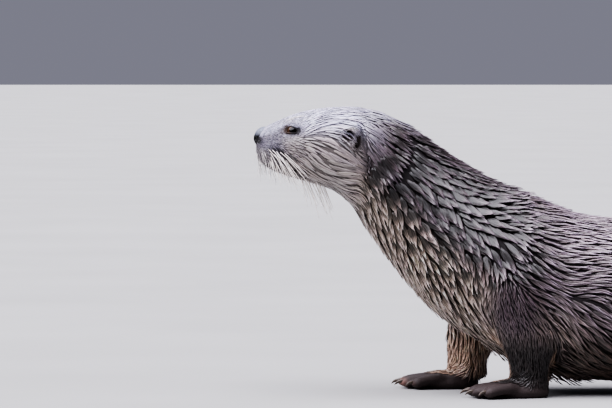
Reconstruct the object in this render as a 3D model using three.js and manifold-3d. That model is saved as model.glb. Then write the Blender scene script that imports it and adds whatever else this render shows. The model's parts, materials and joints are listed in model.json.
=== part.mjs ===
// A life-size North American river otter, standing on all four feet with its neck raised.
//
// Frame: millimetres, +Z up, nose towards -Y, the otter's left side at +X.
// The drawing frame has its zero at the nose tip, above the floor, and Y runs backwards along the
// animal. The last lines slide the finished otter so that its box is centred over the origin.
//
// The trunk is a loft over planar ribs. A rib is given by its highest and lowest point in the
// mid-plane, its half width, how square it is, and how high its widest level lies. Each node of
// head, neck, trunk and tail is one length of that loft, so neighbours meet on one rib plane.

import * as THREE from "three";
import { mergeVertices } from "three/addons/utils/BufferGeometryUtils.js";
import Module from "manifold-3d";

const wasm = await Module();
wasm.setup();

// ---- Driving dimensions, in mm -------------------------------------------------------------

const GAP = 0.3; // clearance between neighbouring nodes
const EYE_RADIUS = 6.2;
const EYE = { x: 20.8, y: 36, z: 248.4 };
const EAR = { x: 41.5, y: 93, z: 243 };
const NOSE = { y: 7.6, z: 243.4, halfWidth: 12.5, halfLength: 8.6, halfHeight: 10.6, lean: -0.45 };
const NOSTRIL = { x: 6.6, y: 0.6, z: 241.5 };
const MOUTH = { cornerY: 47, cornerZ: 212.5, lipY: -4, lipZ: 222, halfWidth: 60 };
const FORE_FOOT = { palm: 19, toeReach: 41, toeRadius: 7.3, spread: 0.19, web: 0.72, claw: 8 };
const HIND_FOOT = { palm: 21, toeReach: 60, toeRadius: 7.5, spread: 0.21, web: 0.86, claw: 7 };

// Mid-plane outline, nose to tail tip: top [y, z], bottom [y, z], half width, squareness, and the
// level of the widest line as a share of the half depth.
const RIBS = [
  { top: [0.8, 246], low: [0.6, 231], wide: 7, square: 2.0, level: 0 }, // 0 nose tip
  { top: [3, 249.5], low: [2, 224], wide: 13.5, square: 2.1, level: 0 },
  { top: [8, 252.8], low: [7, 217.8], wide: 18.5, square: 2.2, level: -0.02 },
  { top: [16, 256.4], low: [15, 212.6], wide: 22.5, square: 2.3, level: -0.04 },
  { top: [26, 260.8], low: [26, 208.4], wide: 25.6, square: 2.3, level: -0.04 },
  { top: [36, 265], low: [38, 204], wide: 29.6, square: 2.25, level: -0.04 }, // 5 eyes
  { top: [47, 268.2], low: [50, 200.2], wide: 34.6, square: 2.3, level: -0.05 },
  { top: [60, 270.4], low: [62, 197.2], wide: 39, square: 2.32, level: -0.06 },
  { top: [74, 271.9], low: [73, 193.2], wide: 42.2, square: 2.32, level: -0.06 },
  { top: [88, 272.4], low: [82, 187], wide: 44.3, square: 2.3, level: -0.02 },
  { top: [102, 271.6], low: [89, 179.5], wide: 45.4, square: 2.25, level: 0.02 }, // 10 ears
  { top: [118, 269], low: [95, 171.5], wide: 46, square: 2.1, level: 0.02 },
  { top: [135, 262.5], low: [101, 162], wide: 47, square: 2.05, level: 0 },
  { top: [152, 251], low: [107.5, 152], wide: 49, square: 2.05, level: 0 },
  { top: [170, 238.5], low: [115.5, 141], wide: 51.5, square: 2.05, level: 0 },
  { top: [188, 225.5], low: [125, 129], wide: 54.5, square: 2.05, level: 0 }, // 15 neck
  { top: [206, 214.5], low: [136, 114.5], wide: 58, square: 2.1, level: 0 },
  { top: [222, 206.5], low: [149, 98], wide: 61.5, square: 2.1, level: -0.02 },
  { top: [238, 200], low: [165, 81], wide: 65, square: 2.15, level: -0.04 },
  { top: [254, 192.5], low: [186, 63], wide: 68, square: 2.2, level: -0.06 },
  { top: [270, 185], low: [212, 45], wide: 71, square: 2.2, level: -0.08 }, // 20 shoulders
  { top: [286, 178.5], low: [243, 29], wide: 74, square: 2.2, level: -0.1 },
  { top: [303, 172.5], low: [272, 18.5], wide: 77, square: 2.2, level: -0.12 },
  { top: [322, 168.5], low: [302, 13.5], wide: 79, square: 2.2, level: -0.12 },
  { top: [350, 166.3], low: [340, 11.5], wide: 80, square: 2.2, level: -0.12 },
  { top: [386, 167], low: [384, 11.5], wide: 80.5, square: 2.2, level: -0.1 }, // 25 belly
  { top: [426, 170], low: [424, 12.5], wide: 80.5, square: 2.2, level: -0.08 },
  { top: [466, 173.5], low: [464, 15.5], wide: 79.5, square: 2.2, level: -0.06 },
  { top: [507, 175], low: [500, 21], wide: 77.5, square: 2.2, level: -0.04 },
  { top: [545, 172], low: [530, 28], wide: 73, square: 2.15, level: 0 },
  { top: [580, 163], low: [558, 36], wide: 66, square: 2.1, level: 0.05 }, // 30 rump
  { top: [611, 149], low: [583, 43.5], wide: 56, square: 2.05, level: 0.05 },
  { top: [638, 132], low: [607, 48], wide: 45.5, square: 2.0, level: 0 },
  { top: [663, 114.5], low: [633, 47.5], wide: 37.5, square: 2.0, level: 0 },
  { top: [690, 96.5], low: [662, 41], wide: 31.8, square: 2.0, level: 0 },
  { top: [722, 78], low: [697, 31.5], wide: 27.4, square: 2.0, level: 0 }, // 35 tail
  { top: [757, 61], low: [736, 21], wide: 23.6, square: 2.0, level: 0 },
  { top: [797, 46.5], low: [782, 11.5], wide: 20.2, square: 2.0, level: 0 },
  { top: [839, 36], low: [830, 4.5], wide: 17.4, square: 2.0, level: 0 },
  { top: [881, 28.5], low: [876, 0.6], wide: 14.8, square: 2.0, level: 0 },
  { top: [925, 22.5], low: [923, -0.7], wide: 12.2, square: 2.0, level: 0 }, // 40
  { top: [969, 17.5], low: [968, -0.7], wide: 9.6, square: 2.0, level: 0 },
  { top: [1008, 12.8], low: [1007, -0.6], wide: 7.2, square: 2.0, level: 0 },
  { top: [1040, 8.6], low: [1039.5, -0.4], wide: 4.8, square: 2.0, level: 0 },
  { top: [1060, 5.4], low: [1060, 0.4], wide: 2.4, square: 2.0, level: 0 }, // 44 tail tip
];

// The lengths that the loft is divided into, counted in RIBS, with the rings along each length and
// the sides around it.
const TAIL_TIP = RIBS.length - 1;
const LENGTHS = {
  head: { from: 0, to: 10.6, steps: 19, sides: 24 },
  neck: { from: 10.6, to: 17.5, steps: 7, sides: 24 },
  chest: { from: 17.5, to: 23, steps: 7, sides: 24 },
  belly: { from: 23, to: 27.6, steps: 4, sides: 24 },
  rump: { from: 27.6, to: 32.2, steps: 6, sides: 22 },
  tail_base: { from: 32.2, to: 35.8, steps: 4, sides: 14 },
  tail_middle: { from: 35.8, to: 39.6, steps: 4, sides: 12 },
  tail_tip: { from: 39.6, to: TAIL_TIP, steps: 5, sides: 10 },
};

// The tail swings to the otter's right, from this rib to the tip.
const TAIL_SWING = { from: 34, sideways: -52 };

// Soft forms added to the loft on both sides: centre, reach in x, y and z, and lift (or, below
// zero, hollow).
const FORMS = [
  { at: [15, 13, 229], reach: [11, 12, 10], lift: 3.4 }, // whisker pad
  { at: [20, 27, 233], reach: [8, 6, 12], lift: -1.6 }, // hollow behind the pad
  { at: [26, 35, 257.5], reach: [9, 12, 5], lift: 2.2 }, // brow
  { at: [27, 35, 247.5], reach: [9, 8, 6], lift: -2.6 }, // eye hollow
  { at: [31, 41, 238], reach: [9, 12, 7], lift: 1.6 }, // cheek bone
  { at: [40, 72, 222], reach: [14, 24, 17], lift: 3.2 }, // jaw muscle
  { at: [0, 20, 206], reach: [13, 12, 9], lift: 1.6 }, // chin
  { at: [45, 108, 236], reach: [10, 12, 16], lift: -1.8 }, // hollow behind the ear
  { at: [64, 236, 135], reach: [24, 30, 42], lift: 7 }, // shoulder
  { at: [70, 292, 80], reach: [20, 18, 40], lift: -3.5 }, // hollow behind the shoulder
  { at: [70, 560, 108], reach: [24, 42, 40], lift: 6 }, // haunch
];

// ---- Helpers -------------------------------------------------------------------------------

const vec = (x, y, z) => new THREE.Vector3(x, y, z);
const { lerp, clamp } = THREE.MathUtils;
const signedPower = (value, power) => Math.sign(value) * Math.abs(value) ** power;

/** A closed tube of rings, each a list of points, with a flat or pointed cap at both ends. */
function closeRings(rings, firstPole, lastPole) {
  const around = rings[0].length;
  const points = [...rings.flat(), firstPole, lastPole];
  const first = points.length - 2;
  const last = points.length - 1;
  const faces = [];
  for (let r = 0; r < rings.length - 1; r++) {
    for (let i = 0; i < around; i++) {
      const a = r * around + i;
      const b = r * around + ((i + 1) % around);
      faces.push(a, b, b + around, a, b + around, a + around);
    }
  }
  const end = (rings.length - 1) * around;
  for (let i = 0; i < around; i++) {
    const next = (i + 1) % around;
    faces.push(next, i, first, end + i, end + next, last);
  }
  const geometry = new THREE.BufferGeometry().setFromPoints(points);
  geometry.setIndex(faces);
  return geometry;
}

/** A three.js geometry as a manifold-3d solid, turned outside out if its faces point in. */
function solid(geometry, matrix = new THREE.Matrix4()) {
  const bare = geometry.clone().applyMatrix4(matrix);
  bare.deleteAttribute("normal");
  bare.deleteAttribute("uv");
  const merged = mergeVertices(bare, 1e-4);
  const make = (triVerts) =>
    new wasm.Manifold(
      new wasm.Mesh({ numProp: 3, vertProperties: merged.attributes.position.array, triVerts }),
    );
  const triVerts = new Uint32Array(merged.index.array);
  const made = make(triVerts);
  return made.volume() > 0 ? made : make(triVerts.reverse());
}

const union = (pieces) => pieces.reduce((sum, piece) => sum.add(piece));
const without = (piece, ...cuts) => cuts.reduce((left, cut) => left.subtract(cut), piece);

/** A sphere stretched to three radii, turned about X, at a place. */
function ball([x, y, z], [rx, ry, rz], detail = 16, turn = [0, 0, 0]) {
  const place = new THREE.Matrix4().compose(
    vec(x, y, z),
    new THREE.Quaternion().setFromEuler(new THREE.Euler(...turn)),
    vec(rx, ry, rz),
  );
  return solid(new THREE.SphereGeometry(1, detail, Math.ceil(detail * 0.7)), place);
}

/** A box between two corners. */
function block([x0, y0, z0], [x1, y1, z1]) {
  const size = new THREE.BoxGeometry(x1 - x0, y1 - y0, z1 - z0);
  const middle = vec((x0 + x1) / 2, (y0 + y1) / 2, (z0 + z1) / 2);
  return solid(size, new THREE.Matrix4().setPosition(middle));
}

const UNDER_FLOOR = block([-300, -200, -60], [300, 1300, 0]);

// ---- The loft of head, neck, trunk and tail ------------------------------------------------

const topCurve = new THREE.CatmullRomCurve3(RIBS.map((r) => vec(r.wide, ...r.top)));
const lowCurve = new THREE.CatmullRomCurve3(RIBS.map((r) => vec(r.square, ...r.low)));
const levelCurve = new THREE.CatmullRomCurve3(RIBS.map((r, i) => vec(r.level, i, 0)));

/** The rib at a place counted in RIBS: its middle, half depth, half width and shape. */
function ribAt(place) {
  const t = clamp(place / (RIBS.length - 1), 0, 1);
  const top = topCurve.getPoint(t);
  const low = lowCurve.getPoint(t);
  const along = clamp((place - TAIL_SWING.from) / (TAIL_TIP - TAIL_SWING.from), 0, 1);
  const swung = along ** 2 * TAIL_SWING.sideways;
  return {
    middle: vec(swung, (top.y + low.y) / 2, (top.z + low.z) / 2),
    up: vec(0, (top.y - low.y) / 2, (top.z - low.z) / 2),
    wide: top.x,
    square: low.x,
    level: levelCurve.getPoint(t).x,
  };
}

/** How far the forms lift the skin at a point. */
function liftAt(point) {
  let sum = 0;
  for (const { at, reach, lift } of FORMS) {
    const dx = (Math.abs(point.x) - at[0]) / reach[0];
    const dy = (point.y - at[1]) / reach[1];
    const dz = (point.z - at[2]) / reach[2];
    sum += lift * Math.exp(-(dx * dx + dy * dy + dz * dz));
  }
  return sum;
}

function ribRing(place, around, grow) {
  const rib = ribAt(place);
  const depth = rib.up.length();
  const ring = [];
  for (let i = 0; i < around; i++) {
    const angle = (i / around) * 2 * Math.PI;
    const across = signedPower(Math.cos(angle), 2 / rib.square);
    const along = signedPower(Math.sin(angle), 2 / rib.square) + rib.level * Math.cos(angle) ** 2;
    const spoke = rib.up.clone().multiplyScalar(along);
    spoke.x = across * rib.wide;
    const point = rib.middle.clone().add(spoke);
    const lift = depth > 12 ? liftAt(point) : 0;
    ring.push(point.add(spoke.normalize().multiplyScalar(lift + grow)));
  }
  return ring;
}

/** A place on the loft moved along it by some millimetres. */
function nudge(place, distance) {
  const reach = 0.05;
  const before = ribAt(place - reach).middle;
  const after = ribAt(place + reach).middle;
  return place + (distance * 2 * reach) / before.distanceTo(after);
}

/** One length of the loft as a solid, ending a gap before the next. */
function length(name, grow = 0) {
  const { from, to, steps, sides } = LENGTHS[name];
  const end = to === TAIL_TIP || grow > 0 ? to : nudge(to, -GAP);
  const rings = [];
  for (let i = 0; i <= steps; i++) {
    rings.push(ribRing(lerp(from, end, i / steps), sides, grow));
  }
  return solid(closeRings(rings, ribAt(from).middle, ribAt(end).middle));
}

/** Some lengths made thicker by the gap and closed up, to cut what stands against them. */
const lengthsCutter = (...names) => union(names.map((name) => length(name, GAP)));

// ---- Limbs ---------------------------------------------------------------------------------

/** A tube through stations { at, r: [sideways, fore and aft] }, its end rounded if asked. */
function tube(stations, steps, around, { grow = 0, round = 0 } = {}) {
  const path = new THREE.CatmullRomCurve3(stations.map((s) => vec(...s.at)));
  const sizes = new THREE.CatmullRomCurve3(stations.map((s) => vec(s.r[0], s.r[1], 0)));
  const rings = [];
  for (let i = 0; i <= steps; i++) {
    const t = i / steps;
    const into = round ? clamp((t - 1 + round) / round, 0, 0.94) : 0;
    const share = Math.sqrt(1 - into * into);
    const size = sizes.getPoint(t);
    const tangent = path.getTangent(t);
    const side = vec(1, 0, 0).projectOnPlane(tangent).normalize();
    const fore = tangent.clone().cross(side);
    const ring = [];
    for (let j = 0; j < around; j++) {
      const angle = (j / around) * 2 * Math.PI;
      const spoke = side.clone().multiplyScalar(Math.cos(angle) * (size.x * share + grow));
      spoke.addScaledVector(fore, Math.sin(angle) * (size.y * share + grow));
      ring.push(path.getPoint(t).add(spoke));
    }
    rings.push(ring);
  }
  return solid(closeRings(rings, path.getPoint(0), path.getPoint(1)));
}

// One side's limbs, drawn for the left. The right fore foot stands a short step ahead of the left,
// and the right hind foot a short step behind.
const FORE = {
  left: { step: 0, x: 60, ankleY: 258, footAhead: 0 },
  right: { step: -55, x: 58, ankleY: 258, footAhead: 7 },
};
const HIND = {
  left: { step: -8, x: 70, ankleY: 592, footAhead: 0 },
  right: { step: 30, x: 70, ankleY: 592, footAhead: 0 },
};
const ELBOW_Z = 62; // level of the cut between upper arm and forearm
const WRIST_Z = 21; // level of the cut between forearm and fore foot
const ANKLE_Z = 26; // level of the cut between shank and hind foot

/** Fore leg stations from shoulder to sole. The step is taken up from the foot upwards. */
function foreStations(sign, { step, x, ankleY }) {
  const stand = (px, py, pz, side, fore, share) => ({
    at: [sign * px, py + step * share, pz],
    r: [side, fore],
  });
  return [
    stand(48, 240, 132, 23, 36, 0.1),
    stand(56, 246, 104, 24, 36, 0.35),
    stand(62, 252, 76, 21.5, 31, 0.65),
    stand(x + 4, ankleY, 50, 19, 25, 0.9),
    stand(x + 1, ankleY, 33, 17, 20.5, 1),
    stand(x, ankleY, WRIST_Z, 16.5, 18, 1),
    stand(x, ankleY + 1, 10, 16, 18.5, 1),
  ];
}

function thighStations(sign, step) {
  return [
    { at: [sign * 37, 588, 112], r: [30, 38] },
    { at: [sign * 47, 567 + step * 0.3, 90], r: [33, 43] },
    { at: [sign * 57, 546 + step * 0.5, 66], r: [30, 36] },
    { at: [sign * 65, 533 + step * 0.7, 47], r: [23, 24] },
  ];
}

function shankStations(sign, { step, x, ankleY }) {
  return [
    { at: [sign * 63, 538 + step * 0.6, 62], r: [21, 23] },
    { at: [sign * 67, 554 + step * 0.8, 47], r: [20, 22] },
    { at: [sign * 70, 575 + step * 0.95, 36], r: [17, 18] },
    { at: [sign * x, ankleY + step, ANKLE_Z], r: [14.5, 15.5] },
    { at: [sign * x, ankleY + step + 2, 11], r: [13.4, 15] },
  ];
}

/** Toes as [angle from straight ahead, share of the full reach], inner toe first. */
const FORE_TOES = [[-2.2, 0.8], [-1.05, 0.95], [0, 1], [1.05, 0.97], [2.15, 0.82]];
const HIND_TOES = [[-2.1, 0.72], [-1.05, 0.88], [0, 0.97], [1, 1], [1.95, 0.93]];

/** Five toe rays of a foot at [x, y], pointing ahead with a small turn outwards. */
function toeRays(sign, [x, y], foot, toes) {
  const turnOut = 0.1;
  return toes.map(([fan, share]) => {
    const heading = sign * (fan * foot.spread + turnOut);
    const ahead = vec(Math.sin(heading), -Math.cos(heading), 0);
    const start = vec(x, y, 0).addScaledVector(ahead, foot.palm * 0.35);
    start.x += sign * fan * foot.palm * 0.2;
    return { ahead, start, reach: (foot.palm * 0.65 + foot.toeReach) * share };
  });
}

/** A point along a toe ray at a height. */
const onRay = ({ ahead, start }, distance, height) =>
  start.clone().addScaledVector(ahead, distance).setZ(height).toArray();

function toe(ray, foot) {
  const r = foot.toeRadius;
  return tube(
    [
      { at: onRay(ray, 0, r * 0.95), r: [r * 0.7, r * 0.7] },
      { at: onRay(ray, ray.reach * 0.35, r * 1.35), r: [r * 0.92, r * 0.9] },
      { at: onRay(ray, ray.reach * 0.68, r * 1.12), r: [r * 0.9, r * 0.85] },
      { at: onRay(ray, ray.reach * 0.88, r * 0.82), r: [r * 0.98, r * 0.88] },
      { at: onRay(ray, ray.reach, r * 0.72), r: [r * 0.9, r * 0.8] },
    ],
    4,
    6,
    { round: 0.2 },
  );
}

function claw(ray, foot, grow = 0) {
  const r = foot.toeRadius;
  const width = 1.7;
  return tube(
    [
      { at: onRay(ray, ray.reach - 4, r * 1.05), r: [width, width * 1.2] },
      { at: onRay(ray, ray.reach + foot.claw * 0.3, r * 0.98), r: [width * 0.85, width * 1.1] },
      { at: onRay(ray, ray.reach + foot.claw * 0.7, r * 0.55), r: [width * 0.4, width * 0.6] },
    ],
    2,
    5,
    { grow, round: 0.3 },
  );
}

/** A flat fan of web between the toes, a little below their backs. */
function web(rays, foot) {
  const edge = [];
  for (let i = 0; i < rays.length; i++) {
    edge.push(vec(...onRay(rays[i], rays[i].reach * foot.web, 0)));
    if (i < rays.length - 1) {
      const dip = vec(...onRay(rays[i], rays[i].reach * foot.web * 0.88, 0));
      const other = vec(...onRay(rays[i + 1], rays[i + 1].reach * foot.web * 0.88, 0));
      edge.push(dip.lerp(other, 0.5));
    }
  }
  const back = [rays.at(-1).start, rays[0].start];
  const outline = new THREE.Shape([...edge, ...back].map((p) => new THREE.Vector2(p.x, p.y)));
  const plate = new THREE.ExtrudeGeometry(outline, { depth: 3, bevelEnabled: false });
  return solid(plate, new THREE.Matrix4().setPosition(0, 0, foot.toeRadius * 0.55));
}

/** A foot and its five claws, from the end of the leg above it. */
function footAndClaws(sign, stance, foot, toes, stub) {
  const x = sign * stance.x;
  const y = stance.ankleY + stance.step - stance.footAhead;
  const rays = toeRays(sign, [x, y], foot, toes);
  const palm = ball([x, y - foot.palm * 0.7, 5.5], [foot.palm * 1.1, foot.palm * 1.75, 12.5], 10);
  const flesh = union([stub, palm, web(rays, foot), ...rays.map((ray) => toe(ray, foot))]);
  return {
    flesh: without(flesh, UNDER_FLOOR, ...rays.map((ray) => claw(ray, foot, GAP))),
    claws: rays.map((ray) => claw(ray, foot)),
  };
}

const above = (z) => block([-200, -100, z], [200, 1100, 400]);
const below = (z) => block([-200, -100, -60], [200, 1100, z]);

// ---- Nodes ---------------------------------------------------------------------------------

const COLOURS = {
  back: 0x4a3b35,
  neck: 0x5d4e48,
  head: 0x7d716b,
  throat: 0x8d8176,
  leg: 0x3c302b,
  foot: 0x4d4246,
  nose: 0x151314,
  eye: 0x120d0b,
  claw: 0xa58d7c,
};
const finishes = Object.fromEntries(
  Object.entries(COLOURS).map(([name, color]) => [
    name,
    new THREE.MeshStandardMaterial({
      color,
      metalness: 0,
      roughness: name === "eye" || name === "nose" ? 0.15 : 0.5,
    }),
  ]),
);

const otter = new THREE.Group();

const WELD = 0.005; // points closer than this become one, so that no sliver is left by a cut

/** A solid's surface with its close points joined and the triangles that this closes left out. */
function surface(piece) {
  const mesh = piece.getMesh();
  const raw = new THREE.BufferGeometry();
  raw.setAttribute("position", new THREE.BufferAttribute(mesh.vertProperties, 3));
  raw.setIndex(new THREE.BufferAttribute(mesh.triVerts, 1));
  const geometry = mergeVertices(raw, WELD);
  const corners = Array.from(geometry.index.array);
  const kept = [];
  for (let i = 0; i < corners.length; i += 3) {
    const [a, b, c] = corners.slice(i, i + 3);
    if (a !== b && b !== c && c !== a) kept.push(a, b, c);
  }
  geometry.setIndex(kept);
  geometry.computeVertexNormals();
  return geometry;
}

function addNode(name, piece, finish) {
  const geometry = surface(piece);
  const node = new THREE.Mesh(geometry, finishes[finish]);
  node.name = name;
  otter.add(node);
}

// Head, with its jaw parted along the mouth line, and seats for nose and eyes.
const headWhole = length("head");
const headCutter = lengthsCutter("head", "neck");
const nosePad = (grow) =>
  ball(
    [0, NOSE.y, NOSE.z],
    [NOSE.halfWidth + grow, NOSE.halfLength + grow, NOSE.halfHeight + grow],
    10,
    [NOSE.lean, 0, 0],
  );
const nostril = (sign) =>
  ball([sign * NOSTRIL.x, NOSTRIL.y, NOSTRIL.z], [2.6, 3.2, 2], 6, [0, 0, sign * 0.5]);
const eyeBall = (sign, grow) =>
  ball([sign * EYE.x, EYE.y, EYE.z], Array(3).fill(EYE_RADIUS + grow), 10);

/** The wedge below the mouth line, open downwards; a positive lift thickens it as a cutter. */
function jawRegion(lift) {
  const { cornerY, cornerZ, lipY, lipZ, halfWidth } = MOUTH;
  const side = new THREE.Shape();
  side.moveTo(lipY, lipZ + lift);
  side.quadraticCurveTo((lipY + cornerY) / 2, lipZ - 6 + lift, cornerY + lift, cornerZ + lift);
  side.lineTo(cornerY + 6 + lift, 190);
  side.lineTo(lipY, 190);
  const wide = halfWidth + lift;
  const plate = new THREE.ExtrudeGeometry(side, {
    depth: 2 * wide,
    bevelEnabled: false,
    curveSegments: 8,
  });
  // The outline's own x and y become the animal's y and z.
  const place = new THREE.Matrix4().makeBasis(vec(0, 1, 0), vec(0, 0, 1), vec(1, 0, 0));
  place.setPosition(-wide, 0, 0);
  return solid(plate, place);
}

const jaw = without(headWhole.intersect(jawRegion(0)), nosePad(GAP));
const head = without(headWhole, jawRegion(GAP), nosePad(GAP), eyeBall(1, GAP), eyeBall(-1, GAP));
addNode("head", head, "head");
addNode("lower_jaw", jaw, "throat");
addNode("nose", without(nosePad(0), nostril(1), nostril(-1)), "nose");

/** An ear is a cupped shell, open ahead and outwards, cut to the side of the head. */
function ear(sign) {
  const turn = [0.12, sign * -0.15, sign * 0.45];
  const shell = ball([sign * EAR.x, EAR.y, EAR.z], [7.6, 9, 10.8], 10, turn);
  const hollow = ball([sign * (EAR.x + 5.6), EAR.y - 4.6, EAR.z - 0.6], [6.6, 8.2, 8.6], 8, turn);
  return without(shell, hollow, headCutter);
}

for (const [side, sign] of [["left", 1], ["right", -1]]) {
  addNode(`eye_${side}`, eyeBall(sign, 0), "eye");
  addNode(`ear_${side}`, ear(sign), "head");
}

// Neck, trunk and tail, the tail flat where it lies on the floor.
for (const name of Object.keys(LENGTHS).filter((each) => each !== "head")) {
  addNode(name, without(length(name), UNDER_FLOOR), name === "neck" ? "neck" : "back");
}

// Limbs, each cut to the trunk beside it.
const foreTrunk = lengthsCutter("neck", "chest", "belly");
const hindTrunk = lengthsCutter("belly", "rump", "tail_base");
for (const [side, sign] of [["left", 1], ["right", -1]]) {
  const fore = foreStations(sign, FORE[side]);
  const foreLeg = tube(fore, 8, 11);
  addNode(`upper_arm_${side}`, without(foreLeg, foreTrunk, below(ELBOW_Z)), "leg");
  addNode(
    `forearm_${side}`,
    without(foreLeg, foreTrunk, above(ELBOW_Z - GAP), below(WRIST_Z)),
    "leg",
  );
  const foreFoot = footAndClaws(
    sign,
    FORE[side],
    FORE_FOOT,
    FORE_TOES,
    without(foreLeg, above(WRIST_Z - GAP)),
  );
  addNode(`fore_foot_${side}`, without(foreFoot.flesh, above(WRIST_Z - GAP)), "foot");

  const hind = HIND[side];
  const thigh = tube(thighStations(sign, hind.step), 6, 12, { round: 0.3 });
  const thighCutter = tube(thighStations(sign, hind.step), 6, 12, { grow: GAP, round: 0.3 });
  const shank = tube(shankStations(sign, hind), 6, 11);
  addNode(`thigh_${side}`, without(thigh, hindTrunk), "leg");
  addNode(
    `shank_${side}`,
    without(shank, hindTrunk, thighCutter, below(ANKLE_Z)),
    "leg",
  );
  const hindFoot = footAndClaws(
    sign,
    hind,
    HIND_FOOT,
    HIND_TOES,
    without(shank, above(ANKLE_Z - GAP), thighCutter),
  );
  addNode(`hind_foot_${side}`, without(hindFoot.flesh, above(ANKLE_Z - GAP)), "foot");

  [["fore", foreFoot.claws], ["hind", hindFoot.claws]].forEach(([which, claws]) =>
    claws.forEach((piece, i) => addNode(`${which}_claw_${side}_${i + 1}`, piece, "claw")),
  );
}

// The origin is the middle of the bottom of the otter's box.
const box = new THREE.Box3().setFromObject(otter);
otter.position.set(-(box.min.x + box.max.x) / 2, -(box.min.y + box.max.y) / 2, 0);

export default otter;
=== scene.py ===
# %% [markdown]
# # A life-size river otter
#
# This file dresses the solids of a standing river otter. One seamless skin replaces all of the
# flesh, and a coat of about eighteen thousand wet, pointed locks is laid over it. Eyes, nose pad,
# claws and whiskers are pieces of their own.

import json
import math

import bpy
import numpy as np
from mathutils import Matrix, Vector
from mathutils.bvhtree import BVHTree
from mathutils.kdtree import KDTree

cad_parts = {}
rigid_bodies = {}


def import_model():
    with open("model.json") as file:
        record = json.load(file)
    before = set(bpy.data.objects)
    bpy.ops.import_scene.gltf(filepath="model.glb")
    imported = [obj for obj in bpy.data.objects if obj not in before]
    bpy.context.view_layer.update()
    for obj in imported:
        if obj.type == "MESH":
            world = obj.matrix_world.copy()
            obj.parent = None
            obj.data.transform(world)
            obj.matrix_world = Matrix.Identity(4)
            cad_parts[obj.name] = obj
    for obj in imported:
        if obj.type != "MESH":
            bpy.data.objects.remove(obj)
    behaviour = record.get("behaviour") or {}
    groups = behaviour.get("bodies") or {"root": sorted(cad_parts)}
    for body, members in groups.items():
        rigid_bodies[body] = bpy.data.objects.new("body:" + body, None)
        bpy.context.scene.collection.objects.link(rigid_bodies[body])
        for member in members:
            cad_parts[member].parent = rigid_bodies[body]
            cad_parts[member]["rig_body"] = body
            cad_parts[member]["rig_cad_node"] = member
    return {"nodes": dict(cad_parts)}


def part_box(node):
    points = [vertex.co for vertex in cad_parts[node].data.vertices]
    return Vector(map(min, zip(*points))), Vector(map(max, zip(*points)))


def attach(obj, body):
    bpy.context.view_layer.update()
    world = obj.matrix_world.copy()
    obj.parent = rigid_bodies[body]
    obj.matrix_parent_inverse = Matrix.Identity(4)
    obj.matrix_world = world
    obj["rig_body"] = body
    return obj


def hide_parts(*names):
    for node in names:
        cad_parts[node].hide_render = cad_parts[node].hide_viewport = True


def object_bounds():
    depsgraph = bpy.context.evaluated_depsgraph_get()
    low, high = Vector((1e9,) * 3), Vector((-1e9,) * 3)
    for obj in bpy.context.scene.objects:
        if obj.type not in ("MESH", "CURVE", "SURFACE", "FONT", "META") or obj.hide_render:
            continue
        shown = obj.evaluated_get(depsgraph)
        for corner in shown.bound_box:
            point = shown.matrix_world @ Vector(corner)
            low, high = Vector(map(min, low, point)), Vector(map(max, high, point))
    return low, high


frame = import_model()
cad_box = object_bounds()
print("solids", len(frame["nodes"]), "box", [round(v, 3) for v in (*cad_box[0], *cad_box[1])])

# %% [markdown]
# ## Places on the animal
#
# Every place on the otter is told in millimetres as (x, back, up): x towards its left side, back from
# the lip, and up from the floor. Two small functions turn such places into Blender's metres and back.

# %% Places in millimetres
MM = 0.001
PAD_AHEAD = 1.28  # mm that the nose pad stands ahead of the lip
LIP_Y = cad_box[0][1] + PAD_AHEAD * MM


def to_metres(places):
    """Places (x, back, up) in mm as Blender points."""
    places = np.asarray(places, float)
    return places * MM + np.array([0, LIP_Y, 0])


def to_places(points):
    """Blender points as places (x, back, up) in mm."""
    return (np.asarray(points, float) - np.array([0, LIP_Y, 0])) / MM


def smooth(low, high, value):
    """0 below low, 1 above high, and an even curve between them."""
    t = np.clip((np.asarray(value, float) - low) / (high - low), 0, 1)
    return t * t * (3 - 2 * t)


def unit(vectors):
    return vectors / np.maximum(np.linalg.norm(vectors, axis=-1, keepdims=True), 1e-9)


# %% [markdown]
# ## Ribs: a ruler along the body
#
# The ribs are lines across the side view, from the underside to the back. Counting along them tells how
# far down the body a point is, and the share of the way up a rib tells belly from back. Colours and
# the unwrap of the coat both use this ruler. From 0 on, the ribs stand at the lip, eyes, cheek, ears,
# nape, neck, shoulder, elbow, chest, belly, hip, rump and tail root, and three more along the tail.

# %% The ribs and the ruler
TOPS = [(1, 246), (26, 261), (60, 270), (102, 272), (152, 251), (206, 214.5), (254, 192.5), (303, 172.5)]
TOPS += [(386, 167), (466, 173.5), (545, 172), (611, 149), (663, 114.5), (757, 61), (881, 28.5), (1062, 6)]
LOWS = [(0, 231), (26, 208), (62, 197), (89, 179.5), (107.5, 152), (136, 114.5), (186, 63), (272, 18.5)]
LOWS += [(384, 11.5), (464, 15.5), (530, 28), (583, 43.5), (633, 47.5), (736, 21), (876, 0.6), (1062, 0)]
TOPS, LOWS = np.array(TOPS, float), np.array(LOWS, float)


def ruler(places):
    """How far along the ribs each place is, and its share of the way up, 0 at the belly."""
    side = np.asarray(places)[:, 1:]
    rise = TOPS - LOWS
    normal = unit(np.stack([rise[:, 1], -rise[:, 0]], 1))
    behind = ((side[:, None, :] - LOWS) * normal).sum(2)
    rib = np.clip((behind >= 0).sum(1) - 1, 0, len(TOPS) - 2)
    here = behind[np.arange(len(side)), rib]
    there = behind[np.arange(len(side)), rib + 1]
    part = np.clip(here / np.maximum(here - there, 1e-6), 0, 1)
    low = LOWS[rib] + (LOWS[rib + 1] - LOWS[rib]) * part[:, None]
    top = TOPS[rib] + (TOPS[rib + 1] - TOPS[rib]) * part[:, None]
    share = ((side - low) * (top - low)).sum(1) / ((top - low) ** 2).sum(1)
    return rib + part, share


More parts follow.
